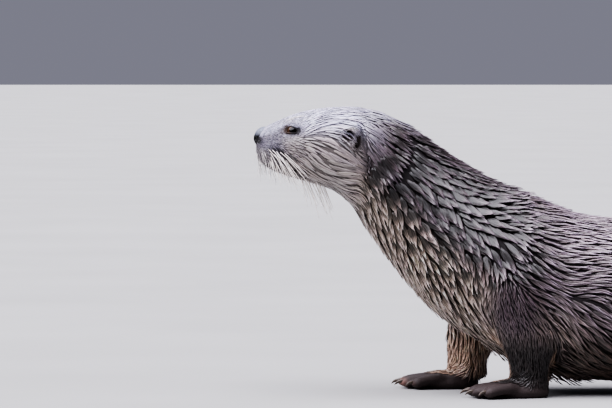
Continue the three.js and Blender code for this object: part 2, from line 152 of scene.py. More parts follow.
# %% [markdown]
# ## Grooming map
#
# A groom knows how the hair lies at each place: its angle, the length and width of its locks, and how
# high their tips stand. The map below names such places in the side view. Between them the values blend
# by distance. Wet hair parts into big scales on the neck, long low ripples on the flank, and fine
# streaks on the head. Blender's hair can be combed by hand in its window, but a table can be read and
# changed here, row by row.

# %% The grooming map
# x, back, up, angle of the lie in degrees (0 points back, -90 down), length, width, rise of the tips
GROOM = [
    # muzzle, lips and chin
    (8, 14, 256, 16, 3.5, 1.0, 0.2),
    (20, 12, 238, -10, 3.5, 1.0, 0.25),
    (20, 18, 229, -56, 8, 1.3, 0.7),
    (22, 22, 220, -50, 9, 1.3, 0.9),
    (6, 3, 226, -82, 8, 1.3, 0.7),
    (8, 22, 207, -12, 7, 1.4, 0.7),
    # forehead, crown and around the eye
    (18, 34, 262, 16, 6, 1.5, 0.2),
    (12, 60, 270, 5, 12, 2.4, 0.3),
    (14, 88, 272, -2, 17, 3.2, 0.6),
    (16, 118, 268, -14, 20, 3.8, 1.8),
    (28, 50, 253, 6, 12, 2.4, 0.3),
    (33, 70, 254, -4, 18, 2.9, 0.45),
    (40, 90, 261, -10, 16, 3.0, 0.6),
    # cheek and jaw
    (28, 36, 238, -14, 7, 1.6, 0.25),
    (32, 46, 234, -14, 16, 3.6, 0.35),
    (36, 58, 238, -16, 26, 4.2, 0.5),
    (42, 78, 230, -20, 32, 4.8, 0.6),
    (36, 56, 219, -15, 28, 4.6, 0.6),
    (42, 80, 214, -12, 32, 4.8, 0.8),
    (44, 98, 226, -34, 22, 4.0, 1.0),
    (34, 78, 200, -20, 20, 3.6, 1.0),
    (12, 60, 198, -14, 14, 3.2, 0.9),
    # smooth mass behind the ear, ending in points
    (46, 108, 252, -36, 20, 3.4, 0.8),
    (48, 110, 238, -58, 20, 3.4, 0.8),
    (48, 120, 238, -54, 26, 4.2, 1.0),
    (48, 130, 240, -50, 28, 4.8, 1.6),
    (49, 121, 216, -64, 26, 6.4, 3.4),
    (49, 137, 222, -54, 26, 6.8, 3.4),
    (30, 138, 258, -28, 22, 4.8, 2.8),
    (46, 146, 240, -44, 26, 6.8, 3.6),
    # neck
    (48, 112, 200, -60, 22, 7.4, 4.0),
    (40, 112, 176, -66, 20, 5.0, 3.4),
    (50, 130, 160, -68, 20, 5.2, 3.6),
    (10, 112, 150, -66, 20, 4.6, 3.2),
    (52, 147, 174, -55, 23, 9.2, 4.8),
    (52, 162, 212, -38, 24, 9.4, 4.8),
    (16, 165, 240, -34, 20, 5.6, 3.4),
    (56, 178, 176, -44, 25, 10.4, 5.4),
    (56, 200, 190, -32, 25, 10.4, 5.4),
    (18, 205, 214, -30, 20, 6.0, 3.8),
    (62, 226, 186, -22, 24, 9.4, 5.4),
    (30, 240, 198, -14, 20, 6.0, 6.0),
    (10, 134, 261, -16, 20, 4.6, 4.2),
    (64, 214, 150, -42, 24, 9.4, 5.4),
    (66, 240, 160, -34, 22, 8.0, 5.4),
    (66, 244, 136, -46, 20, 7.4, 4.8),
    # throat and chest
    (56, 166, 128, -62, 21, 5.4, 3.8),
    (20, 140, 112, -60, 20, 4.6, 3.2),
    (60, 190, 128, -58, 22, 7.4, 4.4),
    (58, 196, 96, -62, 21, 4.8, 3.4),
    (20, 176, 74, -56, 22, 4.4, 3.0),
    (62, 218, 116, -62, 19, 5.6, 3.4),
    (50, 214, 62, -52, 24, 4.2, 3.2),
    (10, 230, 38, -24, 26, 4.4, 9.0),
    (34, 250, 40, -58, 30, 4.6, 11.0),
    # upper arm, forearm and elbow
    (72, 230, 96, -75, 10, 2.2, 0.9),
    (78, 246, 78, -74, 10, 2.2, 0.9),
    (80, 258, 52, -78, 9, 2.0, 0.8),
    (78, 272, 64, -58, 14, 2.8, 1.6),
    # flank and back of the trunk
    (40, 262, 182, -26, 22, 4.2, 2.8),
    (72, 268, 150, -22, 24, 3.9, 2.6),
    (76, 276, 110, -34, 25, 3.9, 2.8),
    (74, 288, 78, -42, 25, 3.9, 3.0),
    (30, 300, 172, -12, 20, 3.0, 1.8),
    (78, 304, 140, -8, 22, 3.4, 2.2),
    (79, 308, 108, -8, 24, 3.6, 2.5),
    (79, 318, 80, -22, 24, 4.0, 3.2),
    (74, 312, 48, -40, 25, 3.9, 3.4),
    (20, 330, 14, -8, 24, 4.6, 4.0),
    (30, 400, 166, -1, 24, 3.4, 1.8),
    (80, 400, 120, -4, 25, 3.7, 2.4),
    (78, 400, 56, -26, 25, 4.0, 3.0),
    (20, 440, 14, -6, 24, 4.8, 3.8),
    (30, 500, 174, 1, 24, 3.6, 2.0),
    (78, 490, 120, -6, 25, 3.8, 2.4),
    (76, 480, 56, -24, 25, 4.0, 3.0),
    # rump, thigh, shank and tail
    (30, 580, 164, -22, 24, 4.6, 3.0),
    (66, 566, 130, -20, 24, 4.6, 3.0),
    (76, 560, 92, -40, 20, 4.2, 2.4),
    (76, 540, 62, -48, 15, 3.4, 1.8),
    (76, 562, 48, -30, 11, 2.6, 1.2),
    (74, 586, 34, -40, 9, 2.2, 0.9),
    (20, 575, 42, -4, 20, 4.2, 2.6),
    (44, 620, 116, -34, 22, 4.6, 2.8),
    (30, 612, 50, -6, 20, 4.2, 2.6),
    (24, 680, 84, -40, 22, 4.4, 2.6),
    (22, 720, 52, -36, 20, 4.2, 2.4),
    (18, 800, 30, -22, 20, 3.8, 2.0),
    (12, 900, 14, -10, 18, 3.2, 1.5),
    (6, 1010, 7, -6, 14, 2.4, 0.9),
]
GROOM = np.array(GROOM, float)
print("places on the grooming map", len(GROOM))
GROOM_REACH = 26  # mm over which a place on the map counts for less
AT_ONCE = 20000  # places blended at a time, to save memory
FEET_UP = 24  # mm: below this the legs are feet


def groomed(places):
    """Lie angle in radians, and length, width and rise of the locks, at each place."""
    spot = np.abs(places * [1, 0, 0]) + places * [0, 1, 1]
    values = np.zeros((len(places), 5))
    for start in range(0, len(places), AT_ONCE):
        part = spot[start : start + AT_ONCE]
        apart = (((part[:, None, :] - GROOM[:, :3]) / GROOM_REACH) ** 2).sum(2)
        weight = 1 / (apart + 0.02) ** 3
        weight /= weight.sum(1, keepdims=True)
        angle = np.radians(GROOM[:, 3])
        columns = np.column_stack([np.cos(angle), np.sin(angle), GROOM[:, 4:]])
        values[start : start + AT_ONCE] = weight @ columns
    return np.arctan2(values[:, 1], values[:, 0]), values[:, 2], values[:, 3], values[:, 4]


# %% [markdown]
# ## Partings
#
# Wet hair breaks along a few lines: the groove behind the cheek, the end of the smooth mass behind the
# ear, and the collar of standing locks on the shoulder. The locks before such a line end about at it,
# and most stand up a little there. Just behind it the coat is darkened with painted shade.

# %% Lines where the coat parts
CREASE = np.array([(101, 254), (103, 244), (104, 234), (107, 224), (107, 214), (104, 204)], float)
NAPE_END = np.array([(146, 246), (148, 232), (143, 214), (131, 202), (119, 194)], float)
COLLAR = np.array([(244, 196), (257, 174), (262, 156), (257, 136), (246, 118), (234, 108)], float)
BESIDE = 20  # mm from the middle plane: nearer to it, over the spine and throat, nothing parts
MISSED = 999  # mm, a distance too great to matter
# the line, how far the tips before it rise in mm, how much painted shade falls behind it, the shortest
# lock before it in mm
PARTINGS = [(CREASE, 0.0, 0.0, 6), (NAPE_END, 1.4, 0.62, 11), (COLLAR, 1.2, 0.30, 14)]


def way_to(line, places, angle):
    """Millimetres from each place to a line in the side view, going at an angle, or MISSED."""
    start, step = line[:-1], np.diff(line, axis=0)
    way = np.stack([np.cos(angle), np.sin(angle)], 1)
    apart = start[None] - places[:, None, 1:]
    cross = way[:, None, 0] * step[None, :, 1] - way[:, None, 1] * step[None, :, 0]
    cross = np.where(np.abs(cross) < 1e-9, 1e-9, cross)
    ahead = (apart[..., 0] * step[None, :, 1] - apart[..., 1] * step[None, :, 0]) / cross
    on_line = (apart[..., 0] * way[:, None, 1] - apart[..., 1] * way[:, None, 0]) / cross
    hit = (ahead > 0) & (on_line >= 0) & (on_line <= 1)
    return np.where(hit, ahead, MISSED).min(1)


def parting_light(places):
    """Share of its light that the coat keeps just behind the partings."""
    angle = groomed(places)[0] + math.pi
    light = np.ones(len(places))
    for line, _, darkness, _ in PARTINGS:
        light *= 1 - darkness * smooth(7, 2, way_to(line, places, angle))
    return np.where(np.abs(places[:, 0]) > BESIDE, light, 1)


# %% [markdown]
# ## Legs and feet on the map
#
# The legs have their own lie: hair runs down the leg, and from the ankle it runs forward to the toes. A
# leg's place is read from its solids, so the skin, the colours and the coat agree on where a leg begins.

# %% Where the legs are
LEG_NAMES = [(end, side) for end in ("fore", "hind") for side in ("left", "right")]
LOWER_LEG = {"fore": "forearm", "hind": "shank"}


def node_span(name):
    """Lowest and highest place of a solid, in mm."""
    low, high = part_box(name)
    return to_places([low])[0], to_places([high])[0]


LEGS = {}
for end, side in LEG_NAMES:
    foot_low, foot_high = node_span(f"{end}_foot_{side}")
    leg_low, leg_high = node_span(f"{LOWER_LEG[end]}_{side}")
    LEGS[end, side] = {"foot": (foot_low, foot_high), "leg": (leg_low, leg_high)}


def leg_shares(places):
    """How far each place belongs to a foot and to a lower leg, the middle of that leg, and its number."""
    foot = np.zeros(len(places))
    lower = np.zeros(len(places))
    centre = np.zeros((len(places), 2))
    quarter = np.full(len(places), -1)
    for count, spans in enumerate(LEGS.values()):
        foot_low, foot_high = spans["foot"]
        leg_low, leg_high = spans["leg"]
        near = (places[:, :2] > foot_low[:2] - 4).all(1) & (places[:, :2] < foot_high[:2] + 4).all(1)
        in_foot = near * smooth(FEET_UP + 6, FEET_UP - 2, places[:, 2])
        middle, half = (leg_low[:2] + leg_high[:2]) / 2, (leg_high[:2] - leg_low[:2]) / 2
        off = np.linalg.norm((places[:, :2] - middle) / (half + 4), axis=1)
        in_leg = smooth(1.2, 1.02, off) * smooth(leg_high[2] + 6, leg_high[2] - 18, places[:, 2])
        belongs = np.maximum(in_foot, in_leg) > 0.02
        foot = np.maximum(foot, in_foot)
        lower = np.maximum(lower, in_leg)
        ankle = (leg_low[:2] + leg_high[:2]) / 2
        ankle[1] = foot_high[1] - 20
        centre[belongs] = ankle
        quarter[belongs] = count
    return foot, lower, centre, quarter


def lie(places, normals):
    """The direction in which the hair lies, along the skin."""
    angle = groomed(places)[0]
    way = np.stack([np.zeros(len(places)), np.cos(angle), np.sin(angle)], 1)
    foot, lower, centre, quarter = leg_shares(places)
    fore = (quarter >= 0) & (quarter < 2)
    down = np.where(fore[:, None], [0, 0.12, -1], [0, 0.45, -0.8])
    way = way * (1 - lower)[:, None] + down * lower[:, None]
    out, behind = places[:, 0] - centre[:, 0], places[:, 1] - centre[:, 1]
    ahead = np.stack([0.6 * out, behind - 30, -12 * np.ones(len(places))], 1)
    forward = foot * smooth(12, -8, behind)
    way = way * (1 - forward)[:, None] + unit(ahead) * forward[:, None]
    way -= normals * (way * normals).sum(1, keepdims=True)
    return unit(way)


print("leg spans", {f"{e}_{s}": [round(float(v)) for v in LEGS[e, s]["foot"][0]] for e, s in LEGS})

# %% [markdown]
# ## Small modelling helpers
#
# Most pieces start from copies of the solids, which are loose triangles and are merged first. A few
# short functions select objects, copy solids, apply a modifier, and read, write or smooth a mesh's
# points, so that later cells can say what they do to the otter.

# %% Helpers for meshes
def deselect():
    bpy.ops.object.select_all(action="DESELECT")


def only(*objects):
    deselect()
    for each in objects:
        each.select_set(True)
    bpy.context.view_layer.objects.active = objects[0]


def copies_joined(name, nodes):
    """One object holding copies of some solids."""
    made = []
    for node in nodes:
        source = frame["nodes"][node]
        piece = source.copy()
        piece.data = source.data.copy()
        piece.parent = None
        bpy.context.scene.collection.objects.link(piece)
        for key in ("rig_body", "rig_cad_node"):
            if key in piece:
                del piece[key]
        made.append(piece)
    only(*made)
    if len(made) > 1:
        bpy.ops.object.join()
    piece = bpy.context.view_layer.objects.active
    piece.name = name
    piece.data.name = name
    piece.data.materials.clear()
    bpy.ops.object.mode_set(mode="EDIT")
    bpy.ops.mesh.select_all(action="SELECT")
    bpy.ops.mesh.remove_doubles(threshold=0.00001)
    bpy.ops.object.mode_set(mode="OBJECT")
    return piece


def modified(piece, kind, **settings):
    """Adds a modifier with some settings and applies it."""
    only(piece)
    modifier = piece.modifiers.new(kind.title(), kind)
    for key, value in settings.items():
        setattr(modifier, key, value)
    bpy.ops.object.modifier_apply(modifier=modifier.name)


def points_of(mesh):
    points = np.empty(len(mesh.vertices) * 3)
    mesh.vertices.foreach_get("co", points)
    return points.reshape(-1, 3)


def set_points(mesh, points):
    mesh.vertices.foreach_set("co", np.asarray(points, np.float32).ravel())
    mesh.update()


def normals_of(mesh):
    normals = np.empty(len(mesh.vertices) * 3, np.float32)
    mesh.vertex_normals.foreach_get("vector", normals)
    return normals.reshape(-1, 3).astype(float)


def relaxed(mesh, points, rounds, amount):
    """Points moved towards the average of their neighbours, a number of rounds."""
    edges = np.empty(len(mesh.edges) * 2, np.int32)
    mesh.edges.foreach_get("vertices", edges)
    a, b = edges.reshape(-1, 2).T
    count = np.bincount(a, minlength=len(points)) + np.bincount(b, minlength=len(points))
    for _ in range(rounds):
        total = np.empty_like(points)
        for axis in range(3):
            total[:, axis] = np.bincount(a, points[b, axis], len(points))
            total[:, axis] += np.bincount(b, points[a, axis], len(points))
        points = points + (total / count[:, None] - points) * amount[:, None]
    return points


# %% [markdown]
# ## Skin
#
# The real otter has one hide from lip to tail tip. Copies of the flesh solids, with the eyes and the
# nose pad to fill their sockets, are swelled a hair's breadth so that they touch. A voxel remesh then
# makes one closed surface of them. Booleans would join them too, but would leave a hard seam each time.

# %% One surface from all of the flesh
NOT_FLESH = ("eye_left", "eye_right", "nose")
FLESH = [name for name in sorted(frame["nodes"]) if name not in NOT_FLESH and "claw" not in name]
VOXEL_MM = 1.3
SWELL_MM = 0.25

skin = copies_joined("skin", FLESH + list(NOT_FLESH))
modified(skin, "DISPLACE", strength=SWELL_MM * MM, mid_level=0)
modified(skin, "REMESH", mode="VOXEL", voxel_size=VOXEL_MM * MM, use_smooth_shade=True)
print("skin after the remesh", len(skin.data.polygons))

# %% [markdown]
# ## Rounding off, and thinning out
#
# The solids have flat facets that no animal has. Moving each point towards the average of its
# neighbours, many times, rounds them off. A smooth modifier would do it with one strength. Here the
# feet and ears get less of it, to keep their edges.
# Then faces that the coat will hide are merged, as small ones would be wasted there.

# %% Rounding off the facets
EARS = [sum(node_span(f"ear_{side}")) / 2 for side in ("left", "right")]
EAR_SIDE = 38  # mm from the middle plane to where the ears start


def from_ear(places):
    """Distance to the middle of the nearer ear."""
    return np.minimum(*[np.linalg.norm(places - middle, axis=1) for middle in EARS])


places = to_places(points_of(skin.data))
foot_share = leg_shares(places)[0]
softness = (0.6 - 0.5 * foot_share) * smooth(10, 17, from_ear(places))
places = relaxed(skin.data, places, 34, softness)
places = relaxed(skin.data, places, 4, np.full(len(places), 0.5))
set_points(skin.data, to_metres(places))

# %% Fewer faces where the coat will hide them
TRUNK_FACES_LEFT = 0.24  # share of all faces that stays after thinning the trunk
FEET_FACES_LEFT = 0.74  # and after thinning the feet
group = skin.vertex_groups.new(name="hidden_by_coat")
foot_share = leg_shares(places)[0]
hidden = smooth(96, 120, places[:, 1]) * (1 - foot_share)
hidden = np.maximum(hidden, smooth(200, 185, places[:, 2]) * (1 - foot_share))
chosen = np.nonzero(hidden > 0.5)[0]
group.add(chosen.tolist(), 1.0, "REPLACE")
modified(
    skin, "DECIMATE", ratio=TRUNK_FACES_LEFT, vertex_group="hidden_by_coat", use_collapse_triangulate=True
)
skin.vertex_groups.clear()
group = skin.vertex_groups.new(name="feet")
in_foot = leg_shares(to_places(points_of(skin.data)))[0] > 0.5
group.add(np.nonzero(in_foot)[0].tolist(), 1.0, "REPLACE")
modified(skin, "DECIMATE", ratio=FEET_FACES_LEFT, vertex_group="feet", use_collapse_triangulate=True)
skin.vertex_groups.clear()
print("skin after the thinning", len(skin.data.polygons))

# %% [markdown]
# ## Finer faces on the face
#
# Lids, lips and ears need smaller faces than a cheek does. The faces round each eye and ear and on the
# muzzle are selected by their place and subdivided, the eyes once more than the rest. To subdivide
# the whole skin would make far more faces than it needs.

# %% Finer faces
def face_places(mesh):
    centres = np.empty(len(mesh.polygons) * 3)
    mesh.polygons.foreach_get("center", centres)
    return to_places(centres.reshape(-1, 3))


def subdivided(piece, chosen):
    """Splits the chosen faces of a piece into smaller ones."""
    only(piece)
    bpy.ops.object.mode_set(mode="EDIT")
    bpy.ops.mesh.select_mode(type="FACE")
    bpy.ops.mesh.select_all(action="DESELECT")
    bpy.ops.object.mode_set(mode="OBJECT")
    piece.data.polygons.foreach_set("select", np.asarray(chosen, bool))
    bpy.ops.object.mode_set(mode="EDIT")
    bpy.ops.mesh.subdivide(number_cuts=1, smoothness=0)
    bpy.ops.object.mode_set(mode="OBJECT")


EYES = {}
for side in ("left", "right"):
    low, high = node_span(f"eye_{side}")
    EYES[side] = {"middle": (low + high) / 2, "radius": float((high - low).mean() / 2)}
EYE_RADIUS = EYES["left"]["radius"]


def from_eye(places):
    """Distance to the nearer eye's middle."""
    apart = [np.linalg.norm(places - eye["middle"], axis=1) for eye in EYES.values()]
    return np.minimum(*apart)


MOUTH_CORNER = 47  # mm back


def mouth_up(back):
    """Height of the line of the mouth, which falls towards its corner and sags a little on the way."""
    return 221.2 - 0.19 * (back + 4) - 1.2 * np.sin(np.clip(back / 46, 0, 1) * math.pi)


def on_mouth(places):
    """Faces within 7 mm of the line of the mouth."""
    return (places[:, 1] < 56) & (np.abs(places[:, 2] - mouth_up(places[:, 1])) < 7)


middles = face_places(skin.data)
near_ear = (from_ear(middles) < 12.5) & (np.abs(middles[:, 0]) > EAR_SIDE)
subdivided(skin, on_mouth(middles) | (middles[:, 1] < 12) | (from_eye(middles) < 15) | near_ear)
middles = face_places(skin.data)
subdivided(skin, from_eye(middles) < 11.5)
print("skin with a finer face", len(skin.data.polygons), "eye radius", round(EYE_RADIUS, 2))

# %% [markdown]
# ## Room for the coat
#
# The solids reach to the tips of the coat, so the skin has to sink by the height of the locks that will
# stand on it: about five millimetres on the neck, under one on the face, and up to ten under the
# chest, where long locks hang. A displace modifier could do it from a painted weight, but the
# grooming map already knows the height at each point.

# %% Sinking the skin
def coat_depth(places):
    rise = groomed(places)[3]
    foot, lower, _, _ = leg_shares(places)
    depth = 0.9 * rise + 0.35
    depth = depth * (1 - lower) + 1.1 * lower
    depth = depth * (1 - foot) + 0.45 * foot
    near_nose = smooth(12, 6, places[:, 1]) * smooth(226, 231, places[:, 2])
    depth = depth * (1 - near_nose) + 0.7 * near_nose
    near_eye = smooth(12, 8, from_eye(places))
    return depth * (1 - near_eye) + 0.25 * near_eye


places = to_places(points_of(skin.data))
depth = np.repeat(coat_depth(places)[:, None], 3, 1)
depth = relaxed(skin.data, depth, 6, np.full(len(places), 0.6))[:, 0]
depth = 0.15 + (depth - 0.15) * smooth(11, 19, from_ear(places))
places = places - normals_of(skin.data) * depth[:, None]
trunk = smooth(105, 125, places[:, 1]) * (1 - leg_shares(places)[0])
places = relaxed(skin.data, places, 6, 0.5 * trunk)
set_points(skin.data, to_metres(places))
print("depth of the coat", round(float(depth.min()), 2), "to", round(float(depth.max()), 2), "mm")

# %% [markdown]
# ## Lids
#
# An otter's eye is small and round, and shows through an almond slit. The lids are the skin itself:
# near the slit it hugs the ball, swells to a thick wet rim, and inside the slit it dives under the
# ball. All of this is a matter of moving skin towards or away from the middle of the eye. Lids made as
# pieces of their own would show an edge against the skin.

# %% Opening the lids
SLIT = {"half_length": 7.8, "above": 3.5, "below": 2.5, "tilt": -14}
LID_REACH = 8.6  # mm from the middle of the eye, past which skin is no lid
HUGS_FROM = 17  # mm from the middle of the eye, where the skin starts to turn towards the ball
UNDER_BALL = 1.6  # mm that the skin inside the slit dives under the surface of the ball
RIM_HEIGHT = 0.75  # mm that the lid's rim stands over the ball
LOOK = np.array([0.88, -0.34, 0.33])  # the way an eye looks: out to its side, ahead and up


def bump_at(value, middle, reach):
    """1 where a value is at its middle, fading away on both sides."""
    return np.exp(-(((value - middle) / reach) ** 2))


def eye_frame(eye):
    """The way the eye looks, the way its slit runs towards the back, and up across the slit."""
    out = math.copysign(1, eye["middle"][0])
    look = unit(LOOK * [out, 1, 1])
    tilt = math.radians(SLIT["tilt"])
    along = np.array([0, math.cos(tilt), math.sin(tilt)])
    along = unit(along - look * along.dot(look))
    over = np.cross(look, along)
    if over[2] < 0:
        over = -over
    return look, along, over


def on_slit(places, eye):
    """Millimetres outside the edge of the slit (negative inside), along it and over it."""
    look, along, over = eye_frame(eye)
    away = unit(places - eye["middle"])
    a = eye["radius"] * np.arctan2(away @ along, away @ look)
    b = eye["radius"] * np.arcsin(np.clip(away @ over, -1, 1))
    half = np.where(b > 0, SLIT["above"], SLIT["below"])
    length = SLIT["half_length"]
    half = half * np.clip(1 - (a / length) ** 2, 0, 1) ** 0.75 * (1 - 0.22 * a / length)
    past = np.clip(np.abs(a) - length, 0, None)
    edge = np.where(past > 0, np.hypot(past, b), np.abs(b) - half)
    edge = edge + 1.5 * np.clip(np.linalg.norm(places - eye["middle"], axis=1) - LID_REACH, 0, None)
    edge = np.where(away @ look < 0.05, 20, edge)
    return edge, a, b


def lids_opened(places):
    for eye in EYES.values():
        away = places - eye["middle"]
        distance = np.linalg.norm(away, axis=1)
        near = distance < HUGS_FROM
        edge, _, over = on_slit(places[near], eye)
        now = distance[near]
        ball = eye["radius"]
        inside = ball - UNDER_BALL
        rim = ball + RIM_HEIGHT - 0.25 * smooth(0.9, 2.2, edge) + 0.5 * smooth(1.8, 4.2, edge) * (over > 0)
        crease = -0.55 * bump_at(edge, 2.5, 0.55) * (over > 0)
        wanted = inside + (rim - inside) * smooth(-0.75, 0.25, edge) + crease
        keep = smooth(1.4, 5.5, edge)
        wanted = wanted * (1 - keep) + now * keep
        places[near] = eye["middle"] + away[near] / now[:, None] * wanted[:, None]
    return places


places = to_places(points_of(skin.data))
near_lid = smooth(16, 12, from_eye(places))
places = relaxed(skin.data, places, 12, 0.5 * near_lid)
places = lids_opened(places)
edges_off = np.minimum(*[on_slit(places, eye)[0] for eye in EYES.values()])
around = smooth(2.6, 4.0, edges_off) * smooth(19, 14, from_eye(places))
places = relaxed(skin.data, places, 14, 0.55 * around)
set_points(skin.data, to_metres(places))
print("points of the skin inside the slits", int((edges_off < 0).sum()))

# %% [markdown]
# ## Lips, whisker pads and folds
#
# The upper lip hangs over the lower one as a soft flap, and the whisker pads swell above it. A wet
# cheek and neck also have folds. Each is a push along the skin's own normal. They could be sculpted,
# but as sums of soft bumps they come out alike on both sides.

# %% Lips and folds
def spot_at(places, back, up, back_reach, up_reach):
    """1 at a spot of the side view, fading away around it."""
    return np.exp(-(((places[:, 1] - back) / back_reach) ** 2 + ((places[:, 2] - up) / up_reach) ** 2))


def ear_folds(places):
    """Two ovals on the ear: 1 at the edge of its hollow, and 1 at the edge of the fold behind it."""
    x, back, up = places.T
    elsewhere = np.where(np.abs(x) > EAR_SIDE, 0, 99)
    hollow = ((back - 88) / 5.0) ** 2 + ((up - 245.3) / 4.8) ** 2 + elsewhere
    lean = back - 97 - 0.12 * (up - 240)
    fold = (lean / 2.5) ** 2 + ((up - 240) / 6.6) ** 2 + elsewhere
    return hollow, fold


def lips_and_folds(places):
    """How far each point of the skin is pushed out."""
    back, up = places[:, 1], places[:, 2]
    side = np.abs(places[:, 0])
    over_line = up - mouth_up(back)
    fade = smooth(MOUTH_CORNER + 3, MOUTH_CORNER - 7, back)
    fade *= smooth(0.5, 2.5, side + np.clip(6 - back, 0, 6))
    push = fade * 0.9 * bump_at(over_line, 2.6, 2.2)
    push -= fade * 2.1 * bump_at(over_line, -0.2, 0.85)
    push -= fade * 0.5 * bump_at(over_line, -3.2, 2.6)
    whisker_pad = spot_at(places, 17, 232, 10, 8) * smooth(8, 15, side)
    push += 0.8 * whisker_pad
    brow = spot_at(places, 33, 257.5, 9, 3.0) * smooth(10, 18, side)
    push += 0.9 * brow
    bag = spot_at(places, 40, 239.5, 8, 2.6) * smooth(12, 20, side)
    push += 0.5 * bag
    tear = bump_at(back, 47, 7) * bump_at(up, 243.6 - 0.75 * (back - 44), 1.1)
    push -= 0.5 * tear * smooth(12, 20, side)
    hollow, fold = ear_folds(places)
    push -= 3.0 * np.exp(-(hollow**2)) + 1.8 * np.exp(-(fold**2))
    return push


def crease_behind(up):
    """How far back the groove behind the cheek runs at each height."""
    return np.interp(up, CREASE[::-1, 1], CREASE[::-1, 0])


def neck_folds(places):
    """The groove from the ear down behind the cheek, and the raised smooth mass behind it."""
    back, up = places[:, 1], places[:, 2]
    crease_back = crease_behind(up)
    within = smooth(200, 207, up) * smooth(259, 252, up) * (np.abs(places[:, 0]) > BESIDE)
    groove = bump_at(back, crease_back, 1.7) * within
    mass_end = 133 + 0.42 * (up - 226)
    mass = smooth(crease_back + 1, crease_back + 6, back) * smooth(mass_end + 2, mass_end - 5, back)
    mass *= smooth(212, 222, up) * smooth(262, 254, up) * (np.abs(places[:, 0]) > BESIDE)
    return 1.6 * mass - 2.2 * groove


places = to_places(points_of(skin.data))
on_head = (places[:, 1] < 100) & (places[:, 2] > 180)
push = np.where(on_head, lips_and_folds(places), 0)
push *= smooth(7.2, 8.6, from_eye(places))
push += neck_folds(places)
places = places + normals_of(skin.data) * push[:, None]
set_points(skin.data, to_metres(places))
print("lips pushed", round(float(push.min()), 2), "to", round(float(push.max()), 2), "mm")
skin.data.polygons.foreach_set("use_smooth", np.ones(len(skin.data.polygons), bool))
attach(skin, "root")
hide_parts(*FLESH)

# %% [markdown]
# ## Colours of the coat
#
# A wet otter is dark brown above and paler, almost taupe, on the throat and chest. Its muzzle and
# head look greyer. The colours are sRGB hex values, chosen so that the render under this light has
# the tones of wet fur, and one function turns them into linear light. Some are painted light: the
# pale lilac back and the blue-grey crown carry a painted sheen of the sky, the patch under the eye is
# a painted highlight, and the lower flank, the grooves, the ear's hollow, the nostrils and the coat
# behind the partings carry painted shade. Skin and coat ask the same function, so both carry the
# same markings and the same painted light.

# %% Colour of each place
def linear(hex_colour):
    """sRGB hex to linear red, green and blue."""
    parts = [int(hex_colour[i : i + 2], 16) / 255 for i in (1, 3, 5)]
    return np.array([c / 12.92 if c <= 0.04045 else ((c + 0.055) / 1.055) ** 2.4 for c in parts])


BACK_BROWN_AND_SKY_SHEEN = linear("#97878f")
FLANK_BROWN = linear("#75676c")
BELLY_BROWN = linear("#54402f")
LOW_FLANK_SHADE = linear("#4b3a30")
NECK_BROWN = linear("#574b4f")
THROAT_TAUPE = linear("#b1a092")
CHEEK_TAUPE = linear("#8f8582")
JAW_TAUPE = linear("#b0a6a0")
CROWN_GREY_AND_GLARE = linear("#bbb8ca")
MUZZLE_GREY = linear("#77717d")
LIP_PALE_AND_HIGHLIGHT = linear("#b4acab")
ARM_BROWN = linear("#54474a")
LEG_BROWN = linear("#292220")
INNER_LEG = linear("#c8a890")
FOOT_GREY = linear("#3a3130")
TOE_PINK = linear("#8d6a60")
EYE_RIM_AND_SHADE = linear("#151113")
EYE_CORNER = linear("#4a3325")
EAR_DARK_AND_SHADE = linear("#33231f")
EAR_RIM = linear("#9d948c")


def mixed(colour, other, share):
    return colour + (other - colour) * np.asarray(share)[:, None]


